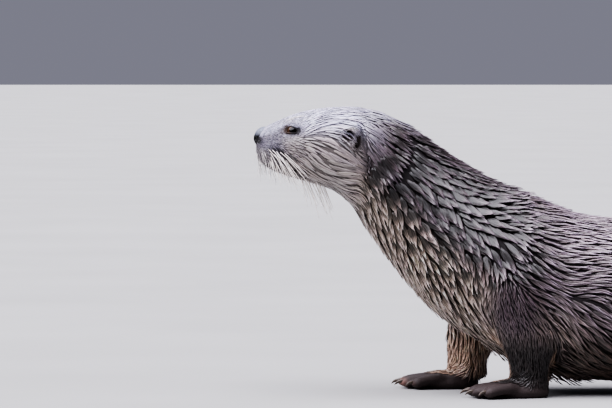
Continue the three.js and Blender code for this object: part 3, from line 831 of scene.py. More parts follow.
def coat_colour(places):
    """Linear colour of the coat at each place, with its painted sheen, highlight and shade."""
    rib, share = ruler(places)
    side = np.abs(places[:, 0])
    back, up = places[:, 1], places[:, 2]
    colour = np.repeat(FLANK_BROWN[None], len(places), 0)
    # the lower flank darker: painted shade under the body
    colour = mixed(colour, LOW_FLANK_SHADE, smooth(0.42, 0.16, share) * smooth(6.4, 7.4, rib))
    # the back paler and lilac: its brown with a painted sheen of the sky
    colour = mixed(colour, BACK_BROWN_AND_SKY_SHEEN, smooth(0.55, 0.9, share))
    colour = mixed(colour, BELLY_BROWN, smooth(0.2, 0.05, share) * smooth(8, 9, rib))
    front = smooth(7.2, 5.4, rib)
    colour = mixed(colour, NECK_BROWN, front)
    throat = smooth(0.52, 0.24, share) * smooth(7.6, 6.4, rib)
    colour = mixed(colour, THROAT_TAUPE, throat * 0.95)
    head = smooth(3.5 + 0.8 * smooth(30, 12, side), 2.8, rib)  # the pale crown fades further back on top
    colour = mixed(colour, CHEEK_TAUPE, head)
    colour = mixed(colour, JAW_TAUPE, head * smooth(0.42, 0.18, share))
    # the top of the head pale blue-grey: grey fur with a painted glare of the sky on the wet crown
    colour = mixed(colour, CROWN_GREY_AND_GLARE, head * smooth(0.55, 0.85, share))
    muzzle = smooth(1.25, 0.8, rib) * smooth(0.92, 0.66, share)
    colour = mixed(colour, MUZZLE_GREY, muzzle)
    lip = smooth(17, 9, np.abs(up - mouth_up(back))) * smooth(38, 26, back) * (up > 190)
    colour = mixed(colour, LIP_PALE_AND_HIGHLIGHT, 0.85 * lip)
    # pale patch under the eye, a painted highlight on the swollen lower lid, and the dark line that runs
    # back and down from it
    patch = spot_at(places, 41, 239.8, 8.5, 3.2) * (side > 14)
    colour = mixed(colour, LIP_PALE_AND_HIGHLIGHT, 0.8 * patch)
    brow = spot_at(places, 31, 258.5, 9, 3.0) * (side > 8)
    colour = mixed(colour, LIP_PALE_AND_HIGHLIGHT, 0.5 * brow)
    line = bump_at(up, 245.5 - 0.42 * (back - 42), 1.0) * smooth(42, 45, back) * smooth(62, 50, back)
    colour = mixed(colour, EYE_RIM_AND_SHADE, 0.7 * line * (side > 14))
    off_slit = np.full(len(places), 99.0)
    for eye in EYES.values():
        edge, along, _ = on_slit(places, eye)
        off_slit = np.minimum(off_slit, edge - 2.0 * smooth(4.5, 7.5, np.abs(along)))
    colour = mixed(colour, EYE_RIM_AND_SHADE, smooth(1.9, 1.1, off_slit) * 0.92)
    inner_corner = smooth(1.6, 0.9, off_slit) * smooth(35.5, 33, back)
    colour = mixed(colour, EYE_CORNER, 0.8 * inner_corner)
    # dark outer side of the upper arm, and paler brown inside the forelegs
    arm = spot_at(places, 246, 82, 26, 34) * smooth(44, 60, side)
    colour = mixed(colour, ARM_BROWN, np.clip(1.5 * arm, 0, 1))
    # painted shade in the groove behind the cheek
    crease_back = crease_behind(up) + 0.5
    crease = bump_at(back, crease_back, 1.4) * smooth(200, 206, up) * smooth(257, 252, up)
    crease = crease * (side > BESIDE)
    colour = mixed(colour, EYE_RIM_AND_SHADE, 0.75 * crease)
    colour = colour * parting_light(places)[:, None]
    # near-black beside the front of the nose pad: painted shade of the nostrils and the pad's underside
    nostril_shade = spot_at(places, 3, 240.5, 4.4, 3.8)
    colour = mixed(colour, EYE_RIM_AND_SHADE, 0.92 * smooth(0.15, 0.6, nostril_shade))
    foot, lower, centre, quarter = leg_shares(places)
    inner = smooth(4, -6, side - np.abs(centre[:, 0])) * (quarter < 2) * (back < centre[:, 1] + 24)
    limb = mixed(np.repeat(LEG_BROWN[None], len(places), 0), INNER_LEG, inner)
    colour = mixed(colour, limb, np.maximum(lower, foot))
    colour = mixed(colour, FOOT_GREY, foot * smooth(20, 8, up))
    # darker on the ear below its rim: painted shade of the ear's hollow and lower side
    near_ear = smooth(12, 9, from_ear(places)) * (side > EAR_SIDE) * smooth(251, 246, up)
    colour = mixed(colour, EAR_DARK_AND_SHADE, 0.45 * near_ear)
    rim = smooth(12.5, 9, from_ear(places)) * (side > EAR_SIDE) * smooth(248, 251, up)
    return mixed(colour, EAR_RIM, 0.8 * rim)


def whole_skin_colour(places):
    """The coat's colours, darkened by painted shade where the skin shows between the locks, with the bare
    parts of ears and feet.
    """
    head = smooth(125, 95, places[:, 1])
    cheek = smooth(40, 56, places[:, 1]) * smooth(110, 100, places[:, 1]) * smooth(262, 250, places[:, 2])
    back, up = places[:, 1], places[:, 2]
    mass = smooth(1, 3, back - crease_behind(up)) * smooth(26, 12, back - crease_behind(up))
    mass *= smooth(208, 216, up) * smooth(262, 256, up)
    foot, lower, centre, _ = leg_shares(places)
    # painted shade between the locks: deepest on the body and cheek, less on the head, the nape mass and
    # the legs
    bare_light = 0.12 + 0.40 * head - 0.14 * cheek + 0.20 * mass + 0.30 * lower
    colour = coat_colour(places) * bare_light[:, None]
    side = np.abs(places[:, 0])
    ahead = np.linalg.norm(places[:, :2] - centre, axis=1)
    bare_foot = foot * smooth(17, 12, places[:, 2] - 0.10 * ahead)
    colour = mixed(colour, FOOT_GREY, bare_foot)
    toe_tip = foot * smooth(56, 66, ahead) * smooth(15, 9, places[:, 2])
    colour = mixed(colour, TOE_PINK, 0.7 * toe_tip)
    for middle in EARS:
        away = places - middle
        rim = smooth(2.5, 5.0, away[:, 2]) * smooth(12.5, 10.5, np.linalg.norm(away, axis=1))
        colour = mixed(colour, EAR_RIM, rim * smooth(42, 45, side))
    # painted shade in the ear's hollow and in the fold behind it
    for fold in ear_folds(places):
        colour = mixed(colour, EAR_DARK_AND_SHADE * 0.4, smooth(1.5, 0.8, fold))
    # the dark line of the mouth: dark lip skin, with painted shade under the overhanging upper lip
    mouth = bump_at(places[:, 2], mouth_up(places[:, 1]) - 0.2, 0.9) * smooth(52, 46, places[:, 1])
    return mixed(colour, EYE_RIM_AND_SHADE * 0.6, mouth * 0.9)


def painted(mesh, colours):
    """Writes a colour for each point of a mesh, for its material to read."""
    layer = mesh.color_attributes.new("Tint", "FLOAT_COLOR", "POINT")
    values = np.ones((len(mesh.vertices), 4), np.float32)
    values[:, :3] = colours
    layer.data.foreach_set("color", values.ravel())


skin_places = to_places(points_of(skin.data))
skin_normals = normals_of(skin.data)
painted(skin.data, whole_skin_colour(skin_places))

# %% [markdown]
# ## Roots of the coat
#
# Locks of wet hair stand about a third of their length apart along the lie, and somewhat less than
# their width apart across it, so each covers the root of the next. Many places are thrown over the
# skin with a fixed seed, more where the locks are small. Then each root that stays clears an oval around
# itself, so the coverage is even without a grid.

# %% Throwing the roots
rng = np.random.default_rng(2)  # a fixed seed, so that the coat is the same each time
THROWN_PER_ROOT = 7
SPACING_HEAD = (0.36, 0.72)  # roots apart along the lie and across it, as shares of a lock
SPACING_CHEEK = (0.36, 0.96)
SPACING_BODY = (0.36, 0.80)
SPACING_SCALES = (0.40, 0.66)  # the big locks of the neck
SPACING_MASS = (0.22, 0.50)  # just behind the groove, where no lock from the front covers the skin

skin.data.calc_loop_triangles()
corners = np.empty(len(skin.data.loop_triangles) * 3, np.int32)
skin.data.loop_triangles.foreach_get("vertices", corners)
corners = corners.reshape(-1, 3)


LEG_LOCKS, FOOT_LOCKS = (10.0, 2.3, 1.1), (8.0, 1.9, 0.55)  # length, width and rise in mm
EAR_LOCKS, EYE_LOCKS = (3.6, 1.0, 0.2), (3.2, 0.8, 0.15)


def lock_sizes(places):
    """Length, width and rise of the locks at each place."""
    _, length, width, rise = groomed(places)
    foot, lower, centre, quarter = leg_shares(places)
    near_ear = smooth(15, 10, from_ear(places)) * (np.abs(places[:, 0]) > EAR_SIDE)
    near_eye = smooth(16, 8, from_eye(places))
    parts = ((lower, LEG_LOCKS), (foot, FOOT_LOCKS), (near_ear, EAR_LOCKS), (near_eye, EYE_LOCKS))
    for share, locks in parts:
        for values, size in zip((length, width, rise), locks):
            values += (size - values) * share
    shaggy = lower * (quarter == 1) * smooth(-4, 8, places[:, 1] - centre[:, 1])
    length += 6 * shaggy
    rise += 1.2 * shaggy
    return ended_at_partings(places, length, width, rise)


def ended_at_partings(places, length, width, rise):
    """Sizes of the locks, where those before a parting end about at it with their tips up."""
    angle = groomed(places)[0]
    beside = np.abs(places[:, 0]) > BESIDE
    ragged = 3 * np.sin(places[:, 2] * 1.9) * np.sin(places[:, 2] * 0.7 + 1)
    for line, standing, _, shortest in PARTINGS:
        room = way_to(line, places, angle)
        near = beside & (room < 1.3 * length)
        rise = rise + standing * near * smooth(3, 12, room)
        length = np.where(near, np.maximum(room + ragged * (standing > 0), shortest), length)
    return length, np.minimum(width, 0.42 * length), rise


def spacing(places, length, width):
    """How far apart the roots stand along the lie and across it."""
    back = places[:, 1]
    shares = np.repeat([SPACING_HEAD], len(places), 0)
    shares = mixed(shares, np.array(SPACING_CHEEK), smooth(40, 56, back) * smooth(3.4, 4.2, width))
    shares = mixed(shares, np.array(SPACING_BODY), smooth(95, 125, back))
    shares = mixed(shares, np.array(SPACING_SCALES), smooth(95, 125, back) * smooth(5, 8, width))
    mass = smooth(14, 5, np.abs(back - crease_behind(places[:, 2]) - 6)) * smooth(204, 212, places[:, 2])
    mass *= smooth(262, 254, places[:, 2]) * (np.abs(places[:, 0]) > BESIDE)
    shares = mixed(shares, np.array(SPACING_MASS), mass)
    return shares[:, 0] * length, shares[:, 1] * width


def bare(places, normals):
    """Places without hair: the lids, the ear's hollow, the nose pad, the line of the mouth, the soles."""
    none = np.minimum(*[on_slit(places, eye)[0] for eye in EYES.values()]) < 1.5
    none |= np.minimum(*ear_folds(places)) < 1.25
    none |= in_pad(places, 1.09)
    on_line = np.abs(places[:, 2] - mouth_up(places[:, 1])) < 0.8
    none |= on_line & (places[:, 1] < MOUTH_CORNER) & (places[:, 2] > 200)
    off_crease = np.abs(places[:, 1] - crease_behind(places[:, 2]) - 0.5)
    crease = (off_crease < 0.8) & (places[:, 2] > 202) & (places[:, 2] < 254)
    none |= crease & (np.abs(places[:, 0]) > BESIDE)
    none |= (way_to(NAPE_END, places, groomed(places)[0]) < 9) & (np.abs(places[:, 0]) > BESIDE)
    foot, _, centre, _ = leg_shares(places)
    ahead = np.linalg.norm(places[:, :2] - centre, axis=1)
    toes = (foot > 0.4) & (places[:, 2] < 12.5 + 0.10 * ahead)
    return none | toes | (normals[:, 2] < -0.75) & (places[:, 2] < 6)


PAD_LOW, PAD_HIGH = node_span("nose")


def in_pad(places, grown):
    middle, half = (PAD_LOW + PAD_HIGH) / 2, (PAD_HIGH - PAD_LOW) / 2
    return (((places - middle) / (half * grown)) ** 2).sum(1) < 1


a, b, c = (skin_places[corners[:, k]] for k in range(3))
areas = np.linalg.norm(np.cross(b - a, c - a), axis=1) / 2
face_middles = (a + b + c) / 3
face_normals = unit(skin_normals[corners].sum(1))
length, width, rise = lock_sizes(face_middles)
along, across = spacing(face_middles, length, width)
wanted = areas / (along * across)
wanted[bare(face_middles, face_normals)] = 0
thrown = int(wanted.sum() * THROWN_PER_ROOT)
face = np.sort(rng.choice(len(wanted), thrown, p=wanted / wanted.sum()))
u, v = rng.random(thrown), rng.random(thrown)
over = u + v > 1
u[over], v[over] = 1 - u[over], 1 - v[over]
roots = a[face] + (b[face] - a[face]) * u[:, None] + (c[face] - a[face]) * v[:, None]
root_normals = face_normals[face]
keep = ~bare(roots, root_normals)
roots, root_normals, face = roots[keep], root_normals[keep], face[keep]
print("places thrown", len(roots), "skin area in cm2", round(areas.sum() / 100))

# %% Each root clears its oval
ways = lie(roots, root_normals)
length, width, rise = lock_sizes(roots)
clear_along, clear_across = spacing(roots, length, width)
tree = KDTree(len(roots))
for count, root in enumerate(roots):
    tree.insert(root, count)
tree.balance()
gone = np.zeros(len(roots), bool)
kept = []
OVAL = 0.80  # share of the full spacing that a root clears
for count in rng.permutation(len(roots)):
    if gone[count]:
        continue
    kept.append(count)
    along, across = clear_along[count] * OVAL, clear_across[count] * OVAL
    found = [other for _, other, _ in tree.find_range(roots[count], max(along, across))]
    away = roots[found] - roots[count]
    down = away @ ways[count]
    beside = np.sqrt(np.maximum((away * away).sum(1) - down * down, 0))
    gone[np.array(found)[(down / along) ** 2 + (beside / across) ** 2 < 1]] = True
kept = np.sort(np.array(kept))
roots, root_normals = roots[kept], root_normals[kept]
length, width, rise = length[kept], width[kept], rise[kept]
print("roots kept", len(roots))

# %% [markdown]
# ## Combing
#
# From each root a line is walked over the skin, a step at a time. Each step turns to the lie of its
# place and comes back to the nearest point of the skin. A slow wave over the body turns the steps a
# little, so neighbouring locks bend together and leave long ripples, as wet fur does.

# %% Walking the locks over the skin
STEPS = 7

skin_tree = BVHTree.FromPolygons([Vector(p) for p in skin_places], [tuple(c) for c in corners.tolist()])
soft_normals = unit(skin_normals[corners].sum(1))


def onto_skin(spots):
    """Nearest points of the skin, and its normals there."""
    found = [skin_tree.find_nearest(Vector(spot)) for spot in spots]
    places = np.array([hit[0] for hit in found])
    return places, soft_normals[np.array([hit[2] for hit in found])]


def ripple(places):
    """The slow turning of the lie, in radians."""
    x, back, up = places.T
    wave = np.sin(back / 21 + 1.7 * np.sin(up / 27 + 0.4) + x / 40)
    wave += 0.6 * np.sin(up / 13 - back / 34 + 2.0) + 0.5 * np.sin(back / 9.5 + up / 17)
    return wave


def turned(ways, normals, angles):
    beside = np.cross(normals, ways)
    return ways * np.cos(angles)[:, None] + beside * np.sin(angles)[:, None]


one_lock_turn = rng.normal(0, 1, len(roots))
length = length * rng.uniform(0.82, 1.18, len(roots))
width = width * rng.uniform(0.8, 1.2, len(roots))
rise = rise * rng.uniform(0.65, 1.3, len(roots))
spot, normal = roots.copy(), root_normals.copy()
path, path_normals = [spot], [normal]
for step in range(STEPS - 1):
    calm = smooth(60, 120, spot[:, 1])
    on_cheek = smooth(30, 60, spot[:, 1]) * smooth(110, 90, spot[:, 1])
    wavy = np.radians(1.5 + 5 * calm + 9 * on_cheek)
    angle = wavy * ripple(spot) + np.radians(2.5 + 3.5 * calm) * one_lock_turn
    way = turned(lie(spot, normal), normal, angle)
    spot, normal = onto_skin(spot + way * (length / (STEPS - 1))[:, None])
    path.append(spot)
    path_normals.append(normal)
path = np.stack(path, 1)
path_normals = np.stack(path_normals, 1)
print("locks combed", path.shape[0], "mean length", round(float(length.mean()), 1))

# %% [markdown]
# ## One lock
#
# Wet hairs cling into a flat, pointed lock with a few ridges, each ridge a bundle of hairs that ends
# in its own tip. A lock here is a closed strip: a row of points across its top, valley and ridge by
# turns, one point beneath, and as many such rows as it needs to bend. The largest locks have four
# ridges, and the smallest only one. Hair curves would give single strands, but wet fur is seen as
# locks, and a mesh of each lock can be exported as it is.

# %% Building all locks of a size at once
def lock_faces(columns, rows):
    """Corner numbers of the faces of one closed lock: quads along it, and fans over its two ends."""
    ring = columns + 1
    quads, fans = [], []
    for row in range(rows - 1):
        start, after = row * ring, (row + 1) * ring
        for k in range(ring):
            j = (k + 1) % ring
            quads.append((start + k, start + j, after + j, after + k))
    last = (rows - 1) * ring
    for k in range(columns - 1):
        fans.append((columns, k + 1, k))
        fans.append((last + columns, last + k, last + k + 1))
    return np.array(quads), np.array(fans)


def resampled(path, rows):
    at = np.linspace(0, path.shape[1] - 1, rows)
    low = np.minimum(at.astype(int), path.shape[1] - 2)
    part = (at - low)[None, :, None]
    return path[:, low] * (1 - part) + path[:, low + 1] * part


def lock_points(path, normals, width, rise, ridges, rows, seeds):
    """Points of many locks (lock, row, ring, xyz), their painted light and shade, and two values for their
    strands.
    """
    # the line of each lock, the way out of the skin, and the way across it
    columns = 2 * ridges + 1
    line = resampled(path, rows)
    out = unit(resampled(normals, rows))
    ahead = np.gradient(line, axis=1)
    reach = np.linalg.norm(ahead, axis=2).sum(1)
    ahead = unit(ahead)
    across = unit(np.cross(ahead, out))
    t = np.linspace(0, 1, rows)[None, :, None]
    c = np.linspace(-1, 1, columns)[None, None, :]
    w, r = width[:, None, None], rise[:, None, None]
    noise = np.random.default_rng(seeds)
    many = len(path)
    is_ridge = (np.arange(columns) % 2 == 1)[None, None, :]
    scale = smooth(4.2, 6.2, w)
    standing = smooth(0.5, 2.6, r)
    # outline: a narrow root, full width before the middle, and a slender or broad tip
    narrow_tip, broad_tip = 1 - 0.88 * smooth(0.40, 1.05, t) ** 1.2, np.clip((1.03 - t) / 0.5, 0, 1)
    point = (1 - scale) * narrow_tip + scale * broad_tip
    half = 0.5 * w * (0.22 + 0.78 * smooth(0, 0.42, t)) * np.minimum(point, 1)
    wander = noise.normal(0, 0.09, (many, 1, columns)) * t**1.5
    beside = half * (c + wander)
    # section: a rounded crown, with high ridges and low valleys
    thick = np.clip((0.24 + 0.12 * standing) * w, 0.16, 2.0) * (1 - 0.70 * t**1.6)
    thick = thick * (0.55 + 0.45 * standing)
    crown = 1 - (0.72 + 0.16 * standing) * c**2
    ridge = np.where(is_ridge, 1 + 0.25 * noise.random((many, 1, columns)), 0.62 - 0.22 * standing)
    # lift: the root is buried in the skin, and the tip rises off it
    surfacing = np.clip(3.2 / reach, 0.12, 0.34)[:, None, None]
    buried = -0.75 * np.clip(0.3 * w, 0.25, 1) * (1 - smooth(0, 1, t / surfacing))
    lift = buried + (0.10 + r) * t ** (1.25 + 0.35 * scale)
    height = lift + thick * crown * ridge * (0.35 + 0.65 * smooth(0, 0.22, t))
    # ends: the ridges reach further than the valleys, so the tip is toothed
    tooth = np.where(is_ridge, 0.5 + 0.5 * noise.random((many, 1, columns)), -0.4)
    tooth = tooth * (1.15 - 0.75 * np.abs(c))
    forward = reach[:, None, None] * 0.10 * tooth * smooth(0.55, 1, t)
    top = line[:, :, None, :] + across[:, :, None, :] * beside[..., None]
    top = top + out[:, :, None, :] * height[..., None] + ahead[:, :, None, :] * forward[..., None]
    # one point beneath closes the strip
    below = line + out * (lift[..., 0] - 0.10)[..., None]
    ring = np.concatenate([top, below[:, :, None, :]], 2)
    # light that is painted on: dark root, valleys and edges, and bright ridges and tip
    bright, dark = 1.1 + 0.75 * standing, 0.72 - (0.32 + 0.18 * scale) * standing
    edge = np.where(np.abs(c) > 0.99, 0.16, np.where(is_ridge, bright, dark))
    root_shade = 1 - standing * (0.70 + 0.20 * scale)
    lit_from = 0.30 + 0.1 * standing + 0.17 * scale * standing
    tip_shade = 1.3 + 0.35 * scale * standing
    shade = edge * (root_shade + (tip_shade - root_shade) * smooth(lit_from, 1.0, t))
    shade = shade * np.ones((many, 1, 1))
    shade = np.concatenate([shade, np.full((many, rows, 1), 0.12)], 2)
    strand = np.concatenate([beside, np.zeros((many, rows, 1))], 2)
    return ring, shade, strand, reach[:, None, None] * t * np.ones(ring.shape[:3])


# %% [markdown]
# ## The coat in pieces
#
# The coat is parted into pieces by region and by side, so that none has too many faces. Each piece
# gets its colour per point, with the painted light and shade of its locks, a map of its strands in
# millimetres, and a map with one tiny patch for each lock, laid at its root's place on an unwrap of
# the body: along the ribs and around the body, or down the leg and around it.

# %% Regions and unwraps
# the flank lies between the regions that start past a rib and those that end before one
PAST_RIB = {"coat_rump": 10.2, "coat_tail": 12.0}
BEFORE_RIB = {"coat_shoulder": 7.4, "coat_neck": 5.6, "coat_head": 3.3, "coat_muzzle": 1.15}


def region_of(roots):
    """The name of the piece of coat that each root belongs to."""
    rib, _ = ruler(roots)
    foot, lower, _, quarter = leg_shares(roots)
    names = np.full(len(roots), "coat_flank", object)
    for name, start in PAST_RIB.items():
        names[rib > start] = name
    for name, end in BEFORE_RIB.items():
        names[rib < end] = name
    names[(quarter >= 0) & (quarter < 2) & (lower > 0.5)] = "coat_foreleg"
    names[(quarter >= 2) & (lower > 0.5)] = "coat_hind_leg"
    names[(quarter >= 0) & (quarter < 2) & (foot > 0.5)] = "coat_fore_foot"
    names[(quarter >= 2) & (foot > 0.5)] = "coat_hind_foot"
    sides = np.where(roots[:, 0] >= 0, "_left", "_right")
    return names + sides.astype(object)


def on_unwrap(roots, name):
    """Places of the roots on the unwrap of their region, from 0 to 1 both ways."""
    if "leg" in name or "foot" in name:
        centre = leg_shares(roots)[2]
        u = np.arctan2(roots[:, 0] - centre[:, 0], roots[:, 1] - centre[:, 1])
        v = roots[:, 2]
        if "foot" in name:
            v = np.hypot(roots[:, 0] - centre[:, 0], roots[:, 1] - centre[:, 1])
    else:
        rib, share = ruler(roots)
        u = rib
        v = np.arctan2(share - 0.5, np.abs(roots[:, 0]) / 60)
    spots = np.stack([u, v], 1)
    low, high = spots.min(0), spots.max(0)
    return 0.01 + 0.98 * (spots - low) / np.maximum(high - low, 1e-6)


PATCH = 0.003  # width of each lock's own patch on its unwrap, which is 1 wide
PAINTED_SKY_HUE = np.array([-0.05, 0.0, 0.13])  # a painted sheen of the bluish sky on the crests, and a browner painted shade in the hollows
FLOOR_GAP = 0.05  # mm: locks under the belly and tail are pressed flat on the floor


def whisker_spots(places):
    """1 where dark roots of whiskers show between the pale hairs of the muzzle."""
    back, up = places[:, 1], places[:, 2]
    spread = ((back - 26) / 13) ** 2 + ((up - 222 + 0.5 * (back - 26)) / 11) ** 2
    return smooth(1.4, 0.6, spread) * (np.abs(places[:, 0]) > 12)


def coat_piece(name, chosen):
    """One mesh of all the chosen locks."""
    points, loops, totals, tints, patches, strands = [], [], [], [], [], []
    start = 0
    unwrap = on_unwrap(roots[chosen], name)
    base = coat_colour(roots[chosen])
    tip_colour = coat_colour(path[chosen][:, -1])
    varied = rng.normal(1, 0.16, len(chosen))[:, None] * rng.normal(1, 0.02, (len(chosen), 3))
    dark_root = rng.random(len(chosen)) < 0.55 * whisker_spots(roots[chosen])
    varied[dark_root] *= 0.22
    size = (width[chosen] < 8.5) * 1 + (width[chosen] < 5.6) + (width[chosen] < 3.9)
    for kind, (ridges, rows) in enumerate(((4, 8), (3, 7), (2, 6), (1, 6))):
        pick = np.nonzero(size == kind)[0]
        if not len(pick):
            continue
        these = chosen[pick]
        ring, shade, strand, along = lock_points(
            path[these], path_normals[these], width[these], rise[these], ridges, rows, 7 + kind
        )
        # the faces of one lock, numbered again for each lock
        many, ring_size = len(pick), ring.shape[2]
        quads, fans = lock_faces(2 * ridges + 1, rows)
        each = ring.shape[1] * ring_size
        offsets = (start + np.arange(many) * each)[:, None]
        quad_loops = (quads.ravel()[None] + offsets).reshape(many, -1)
        fan_loops = (fans.ravel()[None] + offsets).reshape(many, -1)
        loops += [quad_loops.ravel(), fan_loops.ravel()]
        totals += [np.full(many * len(quads), 4), np.full(many * len(fans), 3)]
        # the colour of the root's place turns into that of the tip's place
        t = np.linspace(0, 1, rows)[None, :, None, None]
        colour = base[pick][:, None, None] * (1 - t) + tip_colour[pick][:, None, None] * t
        # then the lock's painted light and shade, with the painted sky hue on its crests
        colour = colour * varied[pick][:, None, None] * shade[..., None]
        colour = colour * (1 + PAINTED_SKY_HUE * (np.clip(shade, 0, 1.6) - 1)[..., None])
        tints.append(colour.reshape(-1, 3))
        points.append(ring.reshape(-1, 3))
        # the two maps: a patch for each lock, and its strands in millimetres
        beside = strand / np.maximum(np.abs(strand).max((1, 2), keepdims=True), 1e-6)
        down = np.broadcast_to(t[..., 0], strand.shape)
        patch = np.stack([beside * 0.5, down - 0.5], 3) * PATCH
        patch[:, :, -1, 0] += 0.15 * PATCH
        patches.append((unwrap[pick][:, None, None] + patch).reshape(-1, 2))
        strands.append(np.stack([strand + 40 * varied[pick][:, :1, None], along], 3).reshape(-1, 2))
        start += many * each
    points, loops, totals = np.concatenate(points), np.concatenate(loops), np.concatenate(totals)
    points[:, 2] = np.maximum(points[:, 2], FLOOR_GAP)
    # the mesh, filled from the lists
    mesh = bpy.data.meshes.new(name)
    mesh.vertices.add(len(points))
    mesh.vertices.foreach_set("co", to_metres(points).astype(np.float32).ravel())
    mesh.loops.add(len(loops))
    mesh.loops.foreach_set("vertex_index", loops.astype(np.int32))
    mesh.polygons.add(len(totals))
    starts = np.concatenate([[0], np.cumsum(totals)[:-1]])
    mesh.polygons.foreach_set("loop_start", starts.astype(np.int32))
    mesh.polygons.foreach_set("loop_total", totals.astype(np.int32))
    mesh.polygons.foreach_set("use_smooth", np.ones(len(totals), bool))
    mesh.update(calc_edges=True)
    painted(mesh, np.clip(np.concatenate(tints), 0, 1))
    for title, values in (("OFBake", np.concatenate(patches)), ("Strand", np.concatenate(strands))):
        layer = mesh.uv_layers.new(name=title)
        layer.data.foreach_set("uv", values[loops].astype(np.float32).ravel())
    piece = bpy.data.objects.new(name, mesh)
    bpy.context.scene.collection.objects.link(piece)
    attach(piece, "root")
    return piece, int((totals - 2).sum())


regions = region_of(roots)
COAT = []
coat_triangles = 0
for name in sorted(set(regions)):
    piece, triangles = coat_piece(name, np.nonzero(regions == name)[0])
    COAT.append(piece)
    coat_triangles += triangles
    print(name, "locks", int((regions == name).sum()), "triangles", triangles)
print("coat triangles", coat_triangles)

# %% [markdown]
# ## Eyes
#
# An otter's eye is nearly all iris and pupil, a dark wet bead. Each is a fine ball at the place and
# size of its solid, with the clear front swelling a little. How far a point is from the middle of the
# gaze is written on the ball, so that the material can colour pupil, iris and rim.

# %% Eyes
PUPIL_BEHIND = 2.6  # mm: the eye looks a little back from the middle of its slit


def eyeball(side):
    eye = EYES[side]
    deselect()
    bpy.ops.mesh.primitive_uv_sphere_add(
        segments=64, ring_count=40, radius=eye["radius"] * MM, location=to_metres(eye["middle"])
    )
    ball = bpy.context.object
    ball.name = f"eye_ball_{side}"
    bpy.ops.object.transform_apply(location=True, rotation=True, scale=True)
    look, along, _ = eye_frame(eye)
    gaze = unit(look + along * PUPIL_BEHIND / eye["radius"])
    away = to_places(points_of(ball.data)) - eye["middle"]
    turn = np.degrees(np.arccos(np.clip(unit(away) @ gaze, -1, 1)))
    away *= (1 + 0.035 * smooth(38, 12, turn))[:, None]
    set_points(ball.data, to_metres(eye["middle"] + away))
    layer = ball.data.attributes.new("Gaze", "FLOAT", "POINT")
    layer.data.foreach_set("value", (turn / 90).astype(np.float32))
    bpy.ops.object.shade_smooth()
    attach(ball, "root")
    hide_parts(f"eye_{side}")
    return ball


EYE_BALLS = [eyeball(side) for side in EYES]
print("eyes", [round(float(v)) for v in EYES["left"]["middle"]], "mm, on the left")

# %% [markdown]
# ## Nose pad
#
# The pad is bare pebbled leather with two comma nostrils and a shallow groove between them. Its solid
# already has the holes, so a fine remesh rounds it, and the groove and the flared rims are pushed in
# and out afterwards.

# %% Nose pad
PAD_VOXEL_MM = 0.5

pad = copies_joined("nose_leather", ["nose"])
modified(pad, "REMESH", mode="VOXEL", voxel_size=PAD_VOXEL_MM * MM, use_smooth_shade=True)
places = to_places(points_of(pad.data))
places = relaxed(pad.data, places, 14, np.full(len(places), 0.5))
pad_middle = (PAD_LOW + PAD_HIGH) / 2
side = np.abs(places[:, 0])
groove = bump_at(places[:, 0], 0, 0.8) * smooth(pad_middle[1] + 2, pad_middle[1] - 3, places[:, 1])
NOSTRIL = np.array([6.6, 0.6, 241.5])
from_nostril = np.linalg.norm(np.abs(places * [1, 0, 0]) + places * [0, 1, 1] - NOSTRIL, axis=1)
rim = bump_at(from_nostril, 4.0, 1.1) * (places[:, 2] > 240)
push = 0.35 * rim - 0.75 * groove + 0.05
set_points(pad.data, to_metres(places + normals_of(pad.data) * push[:, None]))
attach(pad, "root")
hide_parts("nose")
print("nose pad faces", len(pad.data.polygons))

# %% [markdown]
# ## Claws
#
# Otter claws are short blunt cones, curved and a little flattened. Those of a foot are copied from
# their solids, merged into closed shapes and rounded by one subdivision.

# %% Claws
CLAWS = []
for end, side in LEG_NAMES:
    names = [name for name in sorted(frame["nodes"]) if name.startswith(f"{end}_claw_{side}")]
    claws = copies_joined(f"claws_{end}_{side}", names)
    modified(claws, "SUBSURF", levels=2, render_levels=2)
    bpy.ops.object.shade_smooth()
    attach(claws, "root")
    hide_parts(*names)
    CLAWS.append(claws)
print("claw faces", sum(len(claws.data.polygons) for claws in CLAWS))

# %% [markdown]
# ## Whiskers and lip hairs
#
# Whiskers are stiff, smooth and pale. On the wet animal they droop back and down from the muzzle and
# the chin, with a few over the eye, and a fringe of wet hairs hangs from the lip. Each is a thin closed
# cone bent along a curve that starts out from the skin and then droops. Bevelled curves would do as
# well, but then each would have to be turned into a mesh.

# %% Building tapered hairs
HAIRS = []


